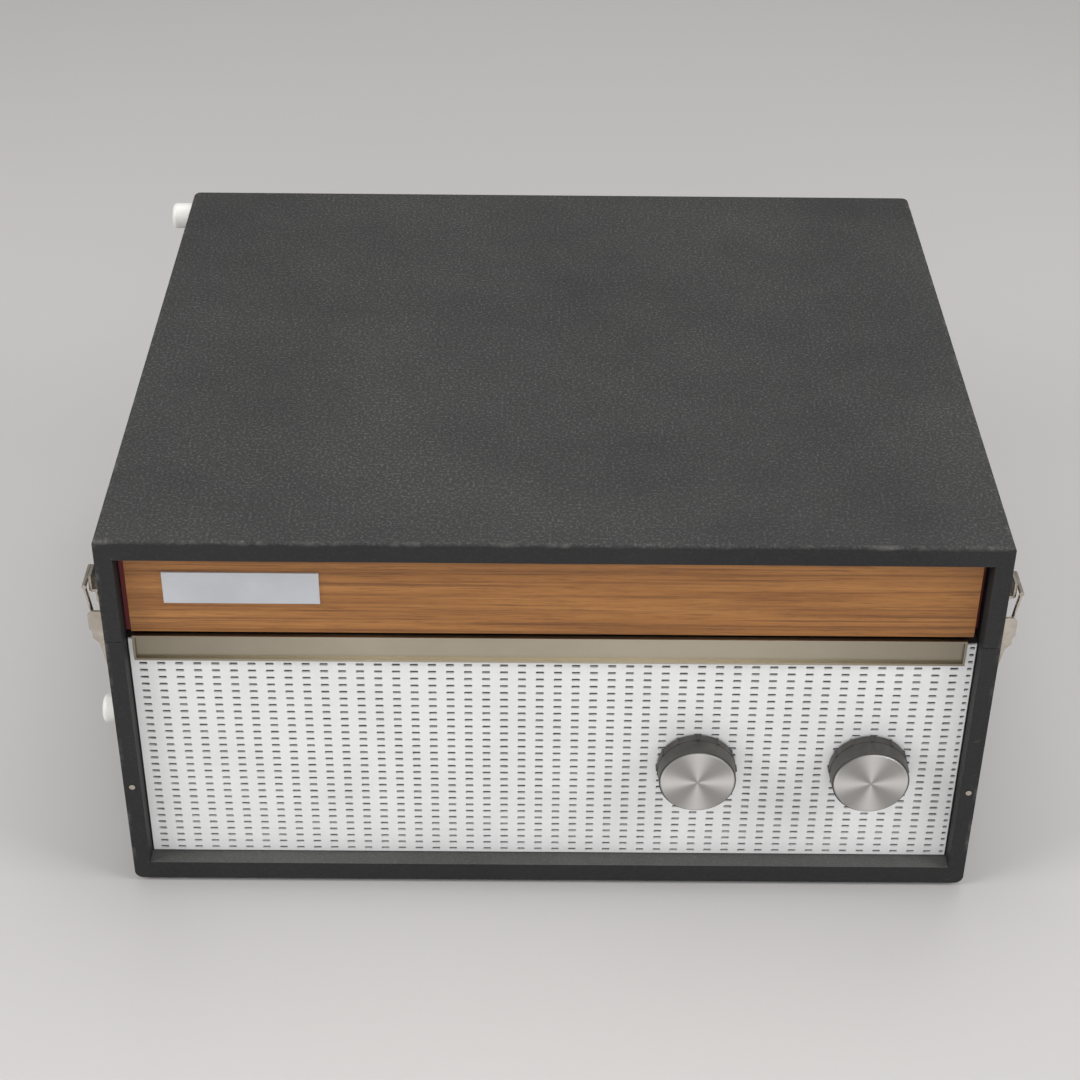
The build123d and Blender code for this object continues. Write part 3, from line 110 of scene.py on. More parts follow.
floor_mesh = bpy.data.meshes.new("studio_floor")
floor_mesh.from_pydata([(-6, -6, 0), (6, -6, 0), (6, 6, 0), (-6, 6, 0)], [], [(0, 1, 2, 3)])
floor = bpy.data.objects.new("studio_floor", floor_mesh)
bpy.context.scene.collection.objects.link(floor)
floor_paint = bpy.data.materials.new("studio_floor")
floor_paint.use_nodes = True
floor_paint.node_tree.nodes["Principled BSDF"].inputs["Base Color"].default_value = (
    0.56, 0.545, 0.54, 1,
)
floor_paint.node_tree.nodes["Principled BSDF"].inputs["Roughness"].default_value = 0.55
floor_mesh.materials.append(floor_paint)
print("lamps and floor ready")

# %% [markdown]
# A finish is a small tree of nodes. These helpers keep the trees readable:
# one adds a node and its settings, the others give noise, a colour ramp and a
# bump, all in Object coordinates, which are metres on the real thing.

# %% Helpers for finishes


def start_finish(name, roughness=0.5, metallic=0.0):
    """A material with its tree, its shader and its object coordinates."""
    material = bpy.data.materials.new(name)
    material.use_nodes = True
    tree = material.node_tree
    shader = tree.nodes["Principled BSDF"]
    shader.inputs["Roughness"].default_value = roughness
    shader.inputs["Metallic"].default_value = metallic
    place = tree.nodes.new("ShaderNodeTexCoord").outputs["Object"]
    return material, tree, shader, place


def stretch(tree, place, scale):
    """Coordinates scaled along each axis."""
    node = tree.nodes.new("ShaderNodeMapping")
    node.inputs["Scale"].default_value = scale
    tree.links.new(place, node.inputs["Vector"])
    return node.outputs["Vector"]


def noise(tree, place, scale, detail=3.0, roughness=0.55, distortion=0.0):
    """Cloudy values from 0 to 1."""
    node = tree.nodes.new("ShaderNodeTexNoise")
    node.inputs["Scale"].default_value = scale
    node.inputs["Detail"].default_value = detail
    node.inputs["Roughness"].default_value = roughness
    node.inputs["Distortion"].default_value = distortion
    tree.links.new(place, node.inputs["Vector"])
    return node.outputs["Fac"]


def ramp(tree, value, stops):
    """Colours laid along a value."""
    node = tree.nodes.new("ShaderNodeValToRGB")
    while len(node.color_ramp.elements) < len(stops):
        node.color_ramp.elements.new(0.5)
    for element, (position, colour) in zip(node.color_ramp.elements, stops):
        element.position = position
        element.color = (*colour, 1)
    tree.links.new(value, node.inputs["Fac"])
    return node.outputs["Color"]


def calculate(tree, operation, first, second, clamp=False):
    """One sum on two values."""
    node = tree.nodes.new("ShaderNodeMath")
    node.operation = operation
    node.use_clamp = clamp
    for socket, value in zip(node.inputs, (first, second)):
        if isinstance(value, (int, float)):
            socket.default_value = value
        else:
            tree.links.new(value, socket)
    return node.outputs["Value"]


def blend_colours(tree, factor, first, second, mode="MIX"):
    """Two colours mixed by a value."""
    node = tree.nodes.new("ShaderNodeMix")
    node.data_type = "RGBA"
    node.blend_type = mode
    for socket, value in (
        (node.inputs[0], factor), (node.inputs[6], first), (node.inputs[7], second),
    ):
        if isinstance(value, (int, float)):
            socket.default_value = value
        elif isinstance(value, tuple):
            socket.default_value = (*value, 1)
        else:
            tree.links.new(value, socket)
    return node.outputs[2]


def raise_surface(tree, shader, height, depth, strength=1.0):
    """Bump from a height, its depth in metres."""
    node = tree.nodes.new("ShaderNodeBump")
    node.inputs["Strength"].default_value = strength
    node.inputs["Distance"].default_value = depth
    tree.links.new(height, node.inputs["Height"])
    tree.links.new(node.outputs["Normal"], shader.inputs["Normal"])


def vary_roughness(tree, shader, value, low, high):
    """Roughness that follows a value."""
    node = tree.nodes.new("ShaderNodeMapRange")
    node.inputs["To Min"].default_value = low
    node.inputs["To Max"].default_value = high
    tree.links.new(value, node.inputs["Value"])
    tree.links.new(node.outputs["Result"], shader.inputs["Roughness"])


def dress(node_name, material):
    """Give a solid of the frame its finish."""
    thing = nodes_by_name[node_name]
    thing.data.materials.clear()
    thing.data.materials.append(material)


print("helpers ready")

# %% [markdown]
# The case is covered with black leathercloth: a fine pressed grain that is
# made lighter where it faces up, partly dust and partly painted light from
# above. It is rubbed pale along the edges that hands and tables touch, in
# patches, and lightly scratched along its length.

# %% Masks on the case


def split(tree, vector):
    """The three values of a vector."""
    node = tree.nodes.new("ShaderNodeSeparateXYZ")
    tree.links.new(vector, node.inputs["Vector"])
    return node.outputs["X"], node.outputs["Y"], node.outputs["Z"]


def near(tree, value, target):
    """Distance of a value from a plane."""
    return calculate(tree, "ABSOLUTE", calculate(tree, "SUBTRACT", value, target), 0)


def edge_line(tree, first, first_plane, second, second_plane, width):
    """1 on the edge where two planes meet, falling to 0 at width."""
    apart = calculate(tree, "ADD", near(tree, first, first_plane), near(tree, second, second_plane))
    return calculate(tree, "SUBTRACT", 1.0, calculate(tree, "DIVIDE", apart, width), clamp=True)


print("masks ready")

# %% Leathercloth
cloth, cloth_tree, cloth_shader, cloth_place = start_finish("leathercloth", 0.6)
fine_grain = noise(cloth_tree, cloth_place, 1100, 2.0, 0.6)
coarse_grain = noise(cloth_tree, cloth_place, 760, 3.0, 0.65)
grain = calculate(cloth_tree, "ADD", fine_grain, coarse_grain)
cloud = noise(cloth_tree, cloth_place, 9, 5.0, 0.65)
case_x, case_y, case_z = split(cloth_tree, cloth_place)
facing = split(cloth_tree, cloth_tree.nodes["Texture Coordinate"].outputs["Normal"])[2]
# Upward faces are made lighter in cloudy patches: partly dust, partly painted light from above.
dust_and_top_light = calculate(cloth_tree, "MULTIPLY", calculate(cloth_tree, "MAXIMUM", facing, 0.0), cloud)
black_cloth = ramp(cloth_tree, cloud, ((0.3, (0.015, 0.015, 0.016)), (0.7, (0.023, 0.023, 0.024))))
dusty_and_lit_cloth = blend_colours(
    cloth_tree, calculate(cloth_tree, "MULTIPLY", dust_and_top_light, 0.95, clamp=True), black_cloth,
    (0.047, 0.047, 0.046),
)
speckle = ramp(cloth_tree, coarse_grain, ((0.50, (0, 0, 0)), (0.66, (1, 1, 1))))
speckle_amount = calculate(
    cloth_tree, "MULTIPLY", speckle,
    calculate(cloth_tree, "ADD", calculate(cloth_tree, "MULTIPLY", dust_and_top_light, 0.80), 0.05),
)
grained_cloth = blend_colours(cloth_tree, speckle_amount, dusty_and_lit_cloth, (0.15, 0.15, 0.145))
streaks = noise(cloth_tree, stretch(cloth_tree, cloth_place, (3.0, 22.0, 22.0)), 9, 6.0, 0.7, 1.5)
scratch_amount = calculate(
    cloth_tree, "MULTIPLY", ramp(cloth_tree, streaks, ((0.66, (0, 0, 0)), (0.74, (1, 1, 1)))), 0.30,
)
scratched_cloth = blend_colours(cloth_tree, scratch_amount, grained_cloth, (0.16, 0.155, 0.15))
# The low ledge is made much lighter where it faces up, in cloudy patches: partly dust, partly painted
# light from above.
ledge = calculate(
    cloth_tree, "MULTIPLY", calculate(cloth_tree, "LESS_THAN", case_z, 0.02),
    calculate(cloth_tree, "MAXIMUM", facing, 0.0),
)
ledge_amount = calculate(
    cloth_tree, "MULTIPLY", calculate(cloth_tree, "MULTIPLY", ledge, cloud), 0.9, clamp=True,
)
ledged_cloth = blend_colours(cloth_tree, ledge_amount, scratched_cloth, (0.15, 0.15, 0.145))
print("grain, dust and scratches")

# %% Rubbed edges
case_front, case_side, case_top = -0.1715, 0.2, 0.2
rubbed = edge_line(cloth_tree, case_y, case_front, case_z, case_top, 0.0022)
for plane in (-case_side, case_side):
    rubbed = calculate(
        cloth_tree, "MAXIMUM", rubbed,
        edge_line(cloth_tree, case_x, plane, case_z, case_top, 0.0026),
    )
    rubbed = calculate(
        cloth_tree, "MAXIMUM", rubbed,
        edge_line(cloth_tree, case_x, plane, case_y, case_front, 0.0020),
    )
patches = ramp(
    cloth_tree, noise(cloth_tree, cloth_place, 60, 6.0, 0.7),
    ((0.50, (0, 0, 0)), (0.68, (1, 1, 1))),
)
rub_amount = calculate(
    cloth_tree, "MULTIPLY", calculate(cloth_tree, "MULTIPLY", rubbed, patches), 0.5,
)
worn_cloth = blend_colours(cloth_tree, rub_amount, ledged_cloth, (0.26, 0.25, 0.23))
cloth_tree.links.new(worn_cloth, cloth_shader.inputs["Base Color"])
vary_roughness(cloth_tree, cloth_shader, cloud, 0.50, 0.68)
raise_surface(cloth_tree, cloth_shader, grain, 0.0003, 0.55)
cloth_shader.inputs["Specular IOR Level"].default_value = 0.30
for node_name in ("base_cabinet", "lid_shell"):
    dress(node_name, cloth)
print("leathercloth on the base and the lid")

# %% [markdown]
# The fascia is a teak-grained panel. Its grain runs along the panel, so every
# noise is stretched along X: a broad figure, narrow dark lines, then short
# pores that also dent the surface a little.

# %% Teak veneer
teak, teak_tree, teak_shader, teak_place = start_finish("teak_veneer", 0.42)
figure = noise(teak_tree, stretch(teak_tree, teak_place, (2.2, 62.0, 62.0)), 2.2, 6.0, 0.62, 0.6)
fine_lines = noise(
    teak_tree, stretch(teak_tree, teak_place, (3.0, 330.0, 330.0)), 2.2, 5.0, 0.65, 0.15,
)
pores = noise(teak_tree, stretch(teak_tree, teak_place, (34.0, 900.0, 900.0)), 2.0, 4.0, 0.7, 0.1)
teak_colour = ramp(
    teak_tree, figure,
    ((0.28, (0.205, 0.078, 0.018)), (0.50, (0.350, 0.145, 0.035)), (0.74, (0.450, 0.200, 0.054))),
)
line_mask = ramp(teak_tree, fine_lines, ((0.36, (1, 1, 1)), (0.52, (0, 0, 0))))
lined_teak = blend_colours(
    teak_tree, calculate(teak_tree, "MULTIPLY", line_mask, 0.62), teak_colour,
    (0.105, 0.034, 0.009),
)
pore_mask = ramp(teak_tree, pores, ((0.34, (1, 1, 1)), (0.48, (0, 0, 0))))
teak_tree.links.new(
    blend_colours(
        teak_tree, calculate(teak_tree, "MULTIPLY", pore_mask, 0.5), lined_teak,
        (0.075, 0.026, 0.008),
    ),
    teak_shader.inputs["Base Color"],
)
raise_surface(teak_tree, teak_shader, pores, 0.0001, 0.35)
dress("fascia_panel", teak)
print("teak on the fascia panel")

# %% [markdown]
# Many pieces share a simple recipe: a base colour that drifts a little, a
# roughness that drifts with it, and a fine bump. One function makes each of
# them from its own numbers.

# %% Simple finishes


def plain_finish(
    name, light, dark, roughness, metallic, grain_scale, grain_depth, drift_scale=30, strength=0.4,
):
    """Drifting colour and roughness over a fine grain."""
    material, tree, shader, place = start_finish(name, roughness, metallic)
    drift = noise(tree, place, drift_scale, 4.0)
    tree.links.new(ramp(tree, drift, ((0.3, dark), (0.7, light))), shader.inputs["Base Color"])
    vary_roughness(tree, shader, drift, roughness * 0.85, min(1.0, roughness * 1.2))
    raise_surface(tree, shader, noise(tree, place, grain_scale, 3.0), grain_depth, strength)
    return material


grille_paint = plain_finish(
    "grille_paint", (0.86, 0.87, 0.87), (0.80, 0.81, 0.81), 0.42, 0.0, 900, 0.00003,
)
backing = plain_finish(
    "grille_backing", (0.045, 0.035, 0.030), (0.020, 0.016, 0.014), 0.9, 0.0, 1200, 0.0002,
)
nickel = plain_finish(
    "aged_nickel", (0.66, 0.61, 0.54), (0.46, 0.41, 0.35), 0.26, 1.0, 700, 0.00003, 90,
)
steel = plain_finish(
    "satin_steel", (0.56, 0.56, 0.55), (0.42, 0.42, 0.41), 0.36, 1.0, 800, 0.00003, 60,
)
knob_plastic = plain_finish(
    "knob_plastic", (0.075, 0.070, 0.064), (0.040, 0.037, 0.034), 0.45, 0.0, 1500, 0.00004, 120,
)
white_plastic = plain_finish(
    "white_plastic", (0.83, 0.82, 0.79), (0.74, 0.72, 0.68), 0.35, 0.0, 700, 0.00003,
)
cream_plastic = plain_finish(
    "cream_plastic", (0.76, 0.70, 0.56), (0.68, 0.61, 0.47), 0.32, 0.0, 700, 0.00003,
)
deck_paint = plain_finish(
    "deck_paint", (0.60, 0.58, 0.52), (0.53, 0.51, 0.45), 0.38, 0.0, 2200, 0.0001, 20, 0.6,
)
black_rubber = plain_finish(
    "black_rubber", (0.032, 0.031, 0.030), (0.018, 0.018, 0.017), 0.8, 0.0, 1400, 0.0001,
)
maroon_paint = plain_finish(
    "maroon_paint", (0.16, 0.010, 0.012), (0.09, 0.006, 0.008), 0.55, 0.0, 700, 0.00004,
)
lid_cloth = plain_finish(
    "lid_cloth", (0.17, 0.020, 0.022), (0.10, 0.010, 0.012), 0.9, 0.0, 2600, 0.0003, 14, 0.8,
)
raw_board = plain_finish(
    "raw_board", (0.48, 0.35, 0.21), (0.33, 0.23, 0.13), 0.8, 0.0, 500, 0.0002, 18, 0.6,
)
hardboard = plain_finish(
    "hardboard", (0.16, 0.090, 0.045), (0.10, 0.055, 0.028), 0.7, 0.0, 1200, 0.0001, 25, 0.6,
)
cone_paper = plain_finish(
    "cone_paper", (0.060, 0.052, 0.045), (0.030, 0.026, 0.023), 0.9, 0.0, 900, 0.0002,
)
enamelled_wire = plain_finish(
    "enamelled_wire", (0.45, 0.16, 0.06), (0.28, 0.09, 0.03), 0.4, 0.6, 1000, 0.0002,
)
cast_alloy = plain_finish(
    "cast_alloy", (0.66, 0.66, 0.64), (0.52, 0.52, 0.50), 0.42, 1.0, 900, 0.00008, 40,
)

finishes = {
    knob_plastic: ("volume_knob", "tone_knob", "handle_grip", "cartridge"),
    nickel: (
        "latch_plates", "latch_strikes", "latch_lever_left", "latch_lever_right",
        "latch_loop_left", "latch_loop_right",
        "hinge_base_leaves", "hinge_lid_leaves", "handle_brackets", "deck_screws", "edge_pins",
    ),
    steel: (
        "speaker_frame", "speaker_magnet", "control_pots", "spindle_post", "platter", "idler_arm",
        "motor_stator", "motor_rotor", "arm_weight", "stylus", "output_transformer",
    ),
    white_plastic: ("side_feet", "lid_foot"),
    cream_plastic: (
        "arm_pedestal", "arm_gimbal", "tonearm", "arm_rest", "speed_knob", "control_lever",
    ),
    deck_paint: ("unit_plate",),
    black_rubber: ("base_feet", "cord_grommet", "deck_mounts", "platter_mat", "idler_wheel"),
    maroon_paint: ("fascia_board",),
    lid_cloth: ("lid_lining",),
    raw_board: ("motorboard", "board_battens"),
    backing: ("baffle_board",),
    hardboard: ("rear_vent_panel",),
    cone_paper: ("speaker_cone",),
    enamelled_wire: ("motor_coil",),
    cast_alloy: ("amp_chassis", "motor_brackets", "smoothing_capacitor"),
}
for material, node_names in finishes.items():
    for node_name in node_names:
        dress(node_name, material)
print("simple finishes", len(finishes))

# %% [markdown]
# The valves are thin glass bulbs, faintly smoky where the getter has settled.

# %% Valve glass
glass, glass_tree, glass_shader, glass_place = start_finish("valve_glass", 0.05)
smoke = noise(glass_tree, glass_place, 60, 3.0)
glass_tree.links.new(
    ramp(glass_tree, smoke, ((0.4, (0.86, 0.88, 0.90)), (0.8, (0.45, 0.46, 0.48)))),
    glass_shader.inputs["Base Color"],
)
glass_shader.inputs["Transmission Weight"].default_value = 0.9
glass_shader.inputs["IOR"].default_value = 1.45
dress("valves", glass)
print("glass on the valves")

# %% [markdown]
# Brushed aluminium comes in two directions here. The trim channel and the
# badge are drawn along their length; the knob caps are spun, so their fine
# rings run round the knob's own axis, and a pale bow-tie of painted highlight
# lies in their colour.

# %% Drawn aluminium
drawn, drawn_tree, drawn_shader, drawn_place = start_finish("drawn_aluminium", 0.34, 1.0)
lines = noise(drawn_tree, stretch(drawn_tree, drawn_place, (2.0, 900.0, 900.0)), 2.0, 3.0)
haze = noise(drawn_tree, drawn_place, 14, 4.0)
# The trim is painted darker towards both ends: a painted reflection of the dark side walls.
along = near(drawn_tree, split(drawn_tree, drawn_place)[0], 0.0)
trim_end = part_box("trim_channel")[1][0]
outward = calculate(drawn_tree, "DIVIDE", along, trim_end, clamp=True)
painted_end_shade = calculate(drawn_tree, "MULTIPLY", calculate(drawn_tree, "POWER", outward, 3.0), 0.75)
bright = ramp(drawn_tree, haze, ((0.3, (0.45, 0.405, 0.315)), (0.7, (0.55, 0.500, 0.400))))
drawn_tree.links.new(
    blend_colours(drawn_tree, painted_end_shade, bright, (0.20, 0.175, 0.130)),
    drawn_shader.inputs["Base Color"],
)
vary_roughness(drawn_tree, drawn_shader, haze, 0.26, 0.40)
raise_surface(drawn_tree, drawn_shader, lines, 0.00002, 0.35)
dress("trim_channel", drawn)

badge_metal, badge_tree, badge_shader, badge_place = start_finish("badge_metal", 0.45, 0.55)
badge_haze = noise(badge_tree, badge_place, 40, 3.0)
badge_tree.links.new(
    ramp(badge_tree, badge_haze, ((0.3, (0.56, 0.58, 0.61)), (0.7, (0.63, 0.65, 0.68)))),
    badge_shader.inputs["Base Color"],
)
raise_surface(badge_tree, badge_shader, noise(badge_tree, badge_place, 1400, 2.0), 0.00002, 0.3)
dress("badge_plate", badge_metal)
print("drawn aluminium on the trim, bare metal on the badge")

# %% Spun aluminium


def spun_metal_and_highlight(name, centre):
    """Rings round a knob's axis, which runs along Y through centre, with a painted bow-tie highlight."""
    material, tree, shader, place = start_finish(name, 0.30, 1.0)
    shift = tree.nodes.new("ShaderNodeMapping")
    shift.inputs["Location"].default_value = (-centre[0], 0, -centre[1])
    tree.links.new(place, shift.inputs["Vector"])
    parts = tree.nodes.new("ShaderNodeSeparateXYZ")
    tree.links.new(shift.outputs["Vector"], parts.inputs["Vector"])
    square_x = calculate(tree, "MULTIPLY", parts.outputs["X"], parts.outputs["X"])
    square_z = calculate(tree, "MULTIPLY", parts.outputs["Z"], parts.outputs["Z"])
    radius = calculate(tree, "SQRT", calculate(tree, "ADD", square_x, square_z), 0)
    rings = tree.nodes.new("ShaderNodeTexNoise")
    rings.noise_dimensions = "1D"
    rings.inputs["Scale"].default_value = 4200
    rings.inputs["Detail"].default_value = 2.0
    tree.links.new(radius, rings.inputs["W"])
    ring_colour = ramp(
        tree, rings.outputs["Fac"], ((0.3, (0.33, 0.32, 0.31)), (0.7, (0.47, 0.46, 0.45))),
    )
    # A pale bow-tie across the cap is painted into the colour: a painted highlight that stands for the
    # lamps seen in the spun metal.
    slant = calculate(tree, "MULTIPLY", calculate(tree, "SUBTRACT", square_x, square_z), 0.5)
    wedge = calculate(
        tree, "DIVIDE", slant,
        calculate(tree, "ADD", calculate(tree, "ADD", square_x, square_z), 0.0000001),
    )
    painted_bowtie_highlight = calculate(
        tree, "POWER", calculate(tree, "ABSOLUTE", calculate(tree, "MULTIPLY", wedge, 2.0), 0), 3.0,
        clamp=True,
    )
    tree.links.new(
        blend_colours(tree, calculate(tree, "MULTIPLY", painted_bowtie_highlight, 0.8), ring_colour, (0.86, 0.85, 0.83)),
        shader.inputs["Base Color"],
    )
    raise_surface(tree, shader, rings.outputs["Fac"], 0.00002, 0.5)
    shader.inputs["Anisotropic"].default_value = 0.85
    tangent = tree.nodes.new("ShaderNodeTangent")
    tangent.direction_type = "RADIAL"
    tangent.axis = "Y"
    tree.links.new(tangent.outputs["Tangent"], shader.inputs["Tangent"])
    return material


for cap_name in ("volume_cap", "tone_cap"):
    low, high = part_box(cap_name)
    cap_centre = ((low[0] + high[0]) / 2, (low[2] + high[2]) / 2)
    dress(cap_name, spun_metal_and_highlight("spun_" + cap_name, cap_centre))
print("spun aluminium on the caps")

# %% [markdown]
# The grille is a thin white sheet pierced with rows of short slots. One tile,
# a frame of sheet round one slot, is repeated on a grid by Geometry Nodes, and
# the copies are welded where they meet. The tree takes the tile, the counts,
# the pitch and the corner, so the plain strip and the folded edge at the right
# use the same tree with other numbers.

# %% Grille tile
grille_low, grille_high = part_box("speaker_grille")
sheet_height = grille_high[2] - grille_low[2]
row_count = 32
row_pitch = sheet_height / row_count
slot_height = 0.00145
column_pitch = 0.00819
left_margin = 0.0014
column_count = 46


def slot_tile(name, width, slot_length, slot_centre):
    """A tile of sheet with one slot through it; slot_length 0 leaves it plain."""
    mesh = bpy.data.meshes.new(name)
    build = bmesh.new()
    front, back = grille_low[1], grille_high[1]
    outer = [(0, 0), (width, 0), (width, row_pitch), (0, row_pitch)]
    middle = row_pitch / 2
    half, rise = slot_length / 2, slot_height / 2
    nip = rise * 0.45
    inner = [
        (slot_centre - half, middle - rise + nip), (slot_centre - half + nip, middle - rise),
        (slot_centre + half - nip, middle - rise), (slot_centre + half, middle - rise + nip),
        (slot_centre + half, middle + rise - nip), (slot_centre + half - nip, middle + rise),
        (slot_centre - half + nip, middle + rise), (slot_centre - half, middle + rise - nip),
    ]
    rings = []
    for depth in (front, back):
        corners = [build.verts.new((x, depth, z)) for x, z in outer]
        slot = [build.verts.new((x, depth, z)) for x, z in inner] if slot_length else []
        rings.append((corners, slot))
        if slot:
            for k in range(4):
                build.faces.new(
                    (corners[k], corners[(k + 1) % 4], slot[(2 * k + 2) % 8], slot[(2 * k + 1) % 8])
                )
                build.faces.new((corners[k], slot[(2 * k + 1) % 8], slot[2 * k]))
        else:
            build.faces.new(corners)
    if slot_length:
        for k in range(8):
            build.faces.new(
                (rings[0][1][k], rings[0][1][(k + 1) % 8], rings[1][1][(k + 1) % 8], rings[1][1][k])
            )
    build.to_mesh(mesh)
    build.free()
    tile = bpy.data.objects.new(name, mesh)
    bpy.context.scene.collection.objects.link(tile)
    return tile


print("row pitch", round(row_pitch * 1000, 3), "mm")

# %% Repeating tree


def add_socket(tree, name, kind, direction="INPUT"):
    """A named input or output of a tree."""
    return tree.interface.new_socket(name, in_out=direction, socket_type=kind)


def repeat_tree(name):
    """Geometry Nodes: one object on a grid of columns and rows, welded."""
    tree = bpy.data.node_groups.new(name, "GeometryNodeTree")
    add_socket(tree, "Geometry", "NodeSocketGeometry", "OUTPUT")
    for socket_name, kind in (
        ("Tile", "NodeSocketObject"), ("Columns", "NodeSocketInt"), ("Rows", "NodeSocketInt"),
        ("Column pitch", "NodeSocketFloat"), ("Row pitch", "NodeSocketFloat"),
        ("Corner", "NodeSocketVector"), ("Finish", "NodeSocketMaterial"),
    ):
        add_socket(tree, socket_name, kind)
    entry = tree.nodes.new("NodeGroupInput")
    leave = tree.nodes.new("NodeGroupOutput")
    tile = tree.nodes.new("GeometryNodeObjectInfo")
    tree.links.new(entry.outputs["Tile"], tile.inputs["Object"])
    count = tree.nodes.new("ShaderNodeMath")
    count.operation = "MULTIPLY"
    tree.links.new(entry.outputs["Columns"], count.inputs[0])
    tree.links.new(entry.outputs["Rows"], count.inputs[1])
    points = tree.nodes.new("GeometryNodePoints")
    tree.links.new(count.outputs[0], points.inputs["Count"])
    index = tree.nodes.new("GeometryNodeInputIndex")
    column = tree.nodes.new("ShaderNodeMath")
    column.operation = "MODULO"
    tree.links.new(index.outputs[0], column.inputs[0])
    tree.links.new(entry.outputs["Columns"], column.inputs[1])
    row_share = tree.nodes.new("ShaderNodeMath")
    row_share.operation = "DIVIDE"
    tree.links.new(index.outputs[0], row_share.inputs[0])
    tree.links.new(entry.outputs["Columns"], row_share.inputs[1])
    row = tree.nodes.new("ShaderNodeMath")
    row.operation = "FLOOR"
    tree.links.new(row_share.outputs[0], row.inputs[0])
    across = tree.nodes.new("ShaderNodeMath")
    across.operation = "MULTIPLY"
    tree.links.new(column.outputs[0], across.inputs[0])
    tree.links.new(entry.outputs["Column pitch"], across.inputs[1])
    up = tree.nodes.new("ShaderNodeMath")
    up.operation = "MULTIPLY"
    tree.links.new(row.outputs[0], up.inputs[0])
    tree.links.new(entry.outputs["Row pitch"], up.inputs[1])
    step = tree.nodes.new("ShaderNodeCombineXYZ")
    tree.links.new(across.outputs[0], step.inputs["X"])
    tree.links.new(up.outputs[0], step.inputs["Z"])
    spot = tree.nodes.new("ShaderNodeVectorMath")
    spot.operation = "ADD"
    tree.links.new(step.outputs[0], spot.inputs[0])
    tree.links.new(entry.outputs["Corner"], spot.inputs[1])
    tree.links.new(spot.outputs[0], points.inputs["Position"])
    copies = tree.nodes.new("GeometryNodeInstanceOnPoints")
    tree.links.new(points.outputs[0], copies.inputs["Points"])
    tree.links.new(tile.outputs["Geometry"], copies.inputs["Instance"])
    real = tree.nodes.new("GeometryNodeRealizeInstances")
    tree.links.new(copies.outputs[0], real.inputs[0])
    weld = tree.nodes.new("GeometryNodeMergeByDistance")
    weld.inputs["Distance"].default_value = 0.000002
    tree.links.new(real.outputs[0], weld.inputs[0])
    coat = tree.nodes.new("GeometryNodeSetMaterial")
    tree.links.new(weld.outputs[0], coat.inputs["Geometry"])
    tree.links.new(entry.outputs["Finish"], coat.inputs["Material"])
    tree.links.new(coat.outputs[0], leave.inputs[0])
    return tree


def run_tree(name, tree, settings, materials):
    """Run a tree on an empty mesh and keep the result as a plain mesh."""
    holder = bpy.data.objects.new(name, bpy.data.meshes.new(name))
    bpy.context.scene.collection.objects.link(holder)
    modifier = holder.modifiers.new("repeat", "NODES")
    modifier.node_group = tree
    for item in tree.interface.items_tree:
        if item.item_type == "SOCKET" and item.in_out == "INPUT" and item.name in settings:
            modifier[item.identifier] = settings[item.name]
    bpy.context.view_layer.update()
    result = bpy.data.meshes.new_from_object(
        holder.evaluated_get(bpy.context.evaluated_depsgraph_get())
    )
    holder.modifiers.remove(modifier)
    holder.data = result
    result.materials.clear()
    for material in materials:
        result.materials.append(material)
    return holder


grid_tree = repeat_tree("repeat_on_grid")
print("tree", grid_tree.name, len(grid_tree.nodes), "nodes")

# %% Pierced sheet
strip_start = grille_low[0] + left_margin + column_count * column_pitch
strip_width = grille_high[0] - strip_start
sheet_parts = []
for part_name, width, slot_length, slot_centre, columns, start in (
    ("margin", left_margin, 0, 0, 1, grille_low[0]),
    ("field", column_pitch, 0.0038, column_pitch / 2, column_count, grille_low[0] + left_margin),
    ("fold", strip_width, 0.0022, strip_width - 0.0017, 1, strip_start),
):
    tile = slot_tile("tile_" + part_name, width, slot_length, slot_centre)
    settings = {
        "Tile": tile, "Columns": columns, "Rows": row_count, "Column pitch": width, "Row pitch": row_pitch,
        "Corner": (start, 0, grille_low[2]), "Finish": grille_paint,
    }
    sheet_parts.append(run_tree("sheet_" + part_name, grid_tree, settings, [grille_paint]))
    bpy.data.objects.remove(tile)

pierced = bmesh.new()
for part in sheet_parts:
    pierced.from_mesh(part.data)
    bpy.data.objects.remove(part)
bmesh.ops.remove_doubles(pierced, verts=pierced.verts, dist=0.000002)
bmesh.ops.recalc_face_normals(pierced, faces=pierced.faces)
open_edges = [edge for edge in pierced.edges if len(edge.link_faces) == 1]
bmesh.ops.bridge_loops(pierced, edges=open_edges)
bmesh.ops.recalc_face_normals(pierced, faces=pierced.faces)
grille_mesh = bpy.data.meshes.new("pierced_grille")
pierced.to_mesh(grille_mesh)
pierced.free()
grille_mesh.materials.append(grille_paint)
grille = bpy.data.objects.new("pierced_grille", grille_mesh)
bpy.context.scene.collection.objects.link(grille)
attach(grille, "base")
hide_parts("speaker_grille")
print("slots", column_count * row_count + row_count, "faces", len(grille_mesh.polygons))

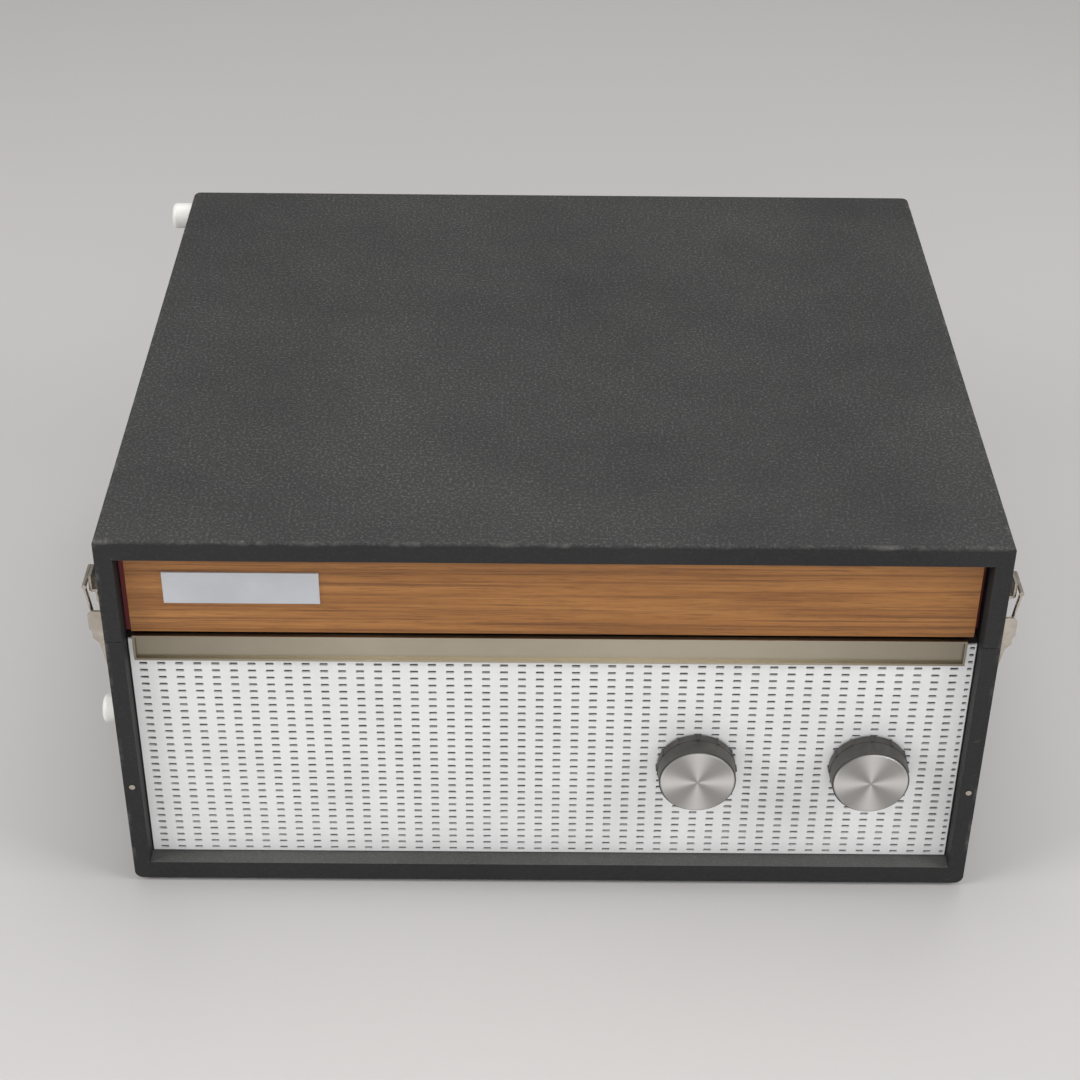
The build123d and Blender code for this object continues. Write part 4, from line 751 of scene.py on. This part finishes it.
# %% [markdown]
# The mat on the platter has raised rings that carry the record. One profile
# spun round the platter's axis gives the whole mat, ribs and all, inside the
# solid that it replaces.

# %% Ribbed mat
mat_low, mat_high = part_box("platter_mat")
mat_centre = ((mat_low[0] + mat_high[0]) / 2, (mat_low[1] + mat_high[1]) / 2)
mat_radius = (mat_high[0] - mat_low[0]) / 2
mat_base, mat_crest = mat_low[2], mat_high[2]
groove_depth = 0.0010
hole_radius, first_rib, rim = 0.0048, 0.016, 0.0006
rib_bevel, rib_margin = 0.0004, 0.022
groove_floor = mat_crest - groove_depth
mat_profile = [(hole_radius, mat_base), (hole_radius, groove_floor)]
rib_count, rib_width = 14, 0.0016
rib_step = (mat_radius - rib_margin) / rib_count
for rib in range(rib_count):
    rib_start = first_rib + rib * rib_step
    mat_profile += [
        (rib_start, groove_floor), (rib_start + rib_bevel, mat_crest),
        (rib_start + rib_width, mat_crest), (rib_start + rib_width + rib_bevel, groove_floor),
    ]
mat_profile += [
    (mat_radius - rim, groove_floor), (mat_radius, groove_floor - rim), (mat_radius, mat_base),
]
turns = 96
mat_build = bmesh.new()
mat_rings = []
for step in range(turns):
    angle = 2 * pi * step / turns
    mat_rings.append([
        mat_build.verts.new(
            (mat_centre[0] + radius * cos(angle), mat_centre[1] + radius * sin(angle), height)
        )
        for radius, height in mat_profile
    ])
for step in range(turns):
    here, there = mat_rings[step], mat_rings[(step + 1) % turns]
    for k in range(len(mat_profile)):
        following = (k + 1) % len(mat_profile)
        mat_build.faces.new((here[k], there[k], there[following], here[following]))
bmesh.ops.recalc_face_normals(mat_build, faces=mat_build.faces)
mat_mesh = bpy.data.meshes.new("ribbed_mat")
mat_build.to_mesh(mat_mesh)
mat_build.free()
mat_mesh.materials.append(black_rubber)
ribbed_mat = bpy.data.objects.new("ribbed_mat", mat_mesh)
bpy.context.scene.collection.objects.link(ribbed_mat)
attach(ribbed_mat, "platter")
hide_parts("platter_mat")
print("mat ribs", rib_count, "faces", len(mat_mesh.polygons))
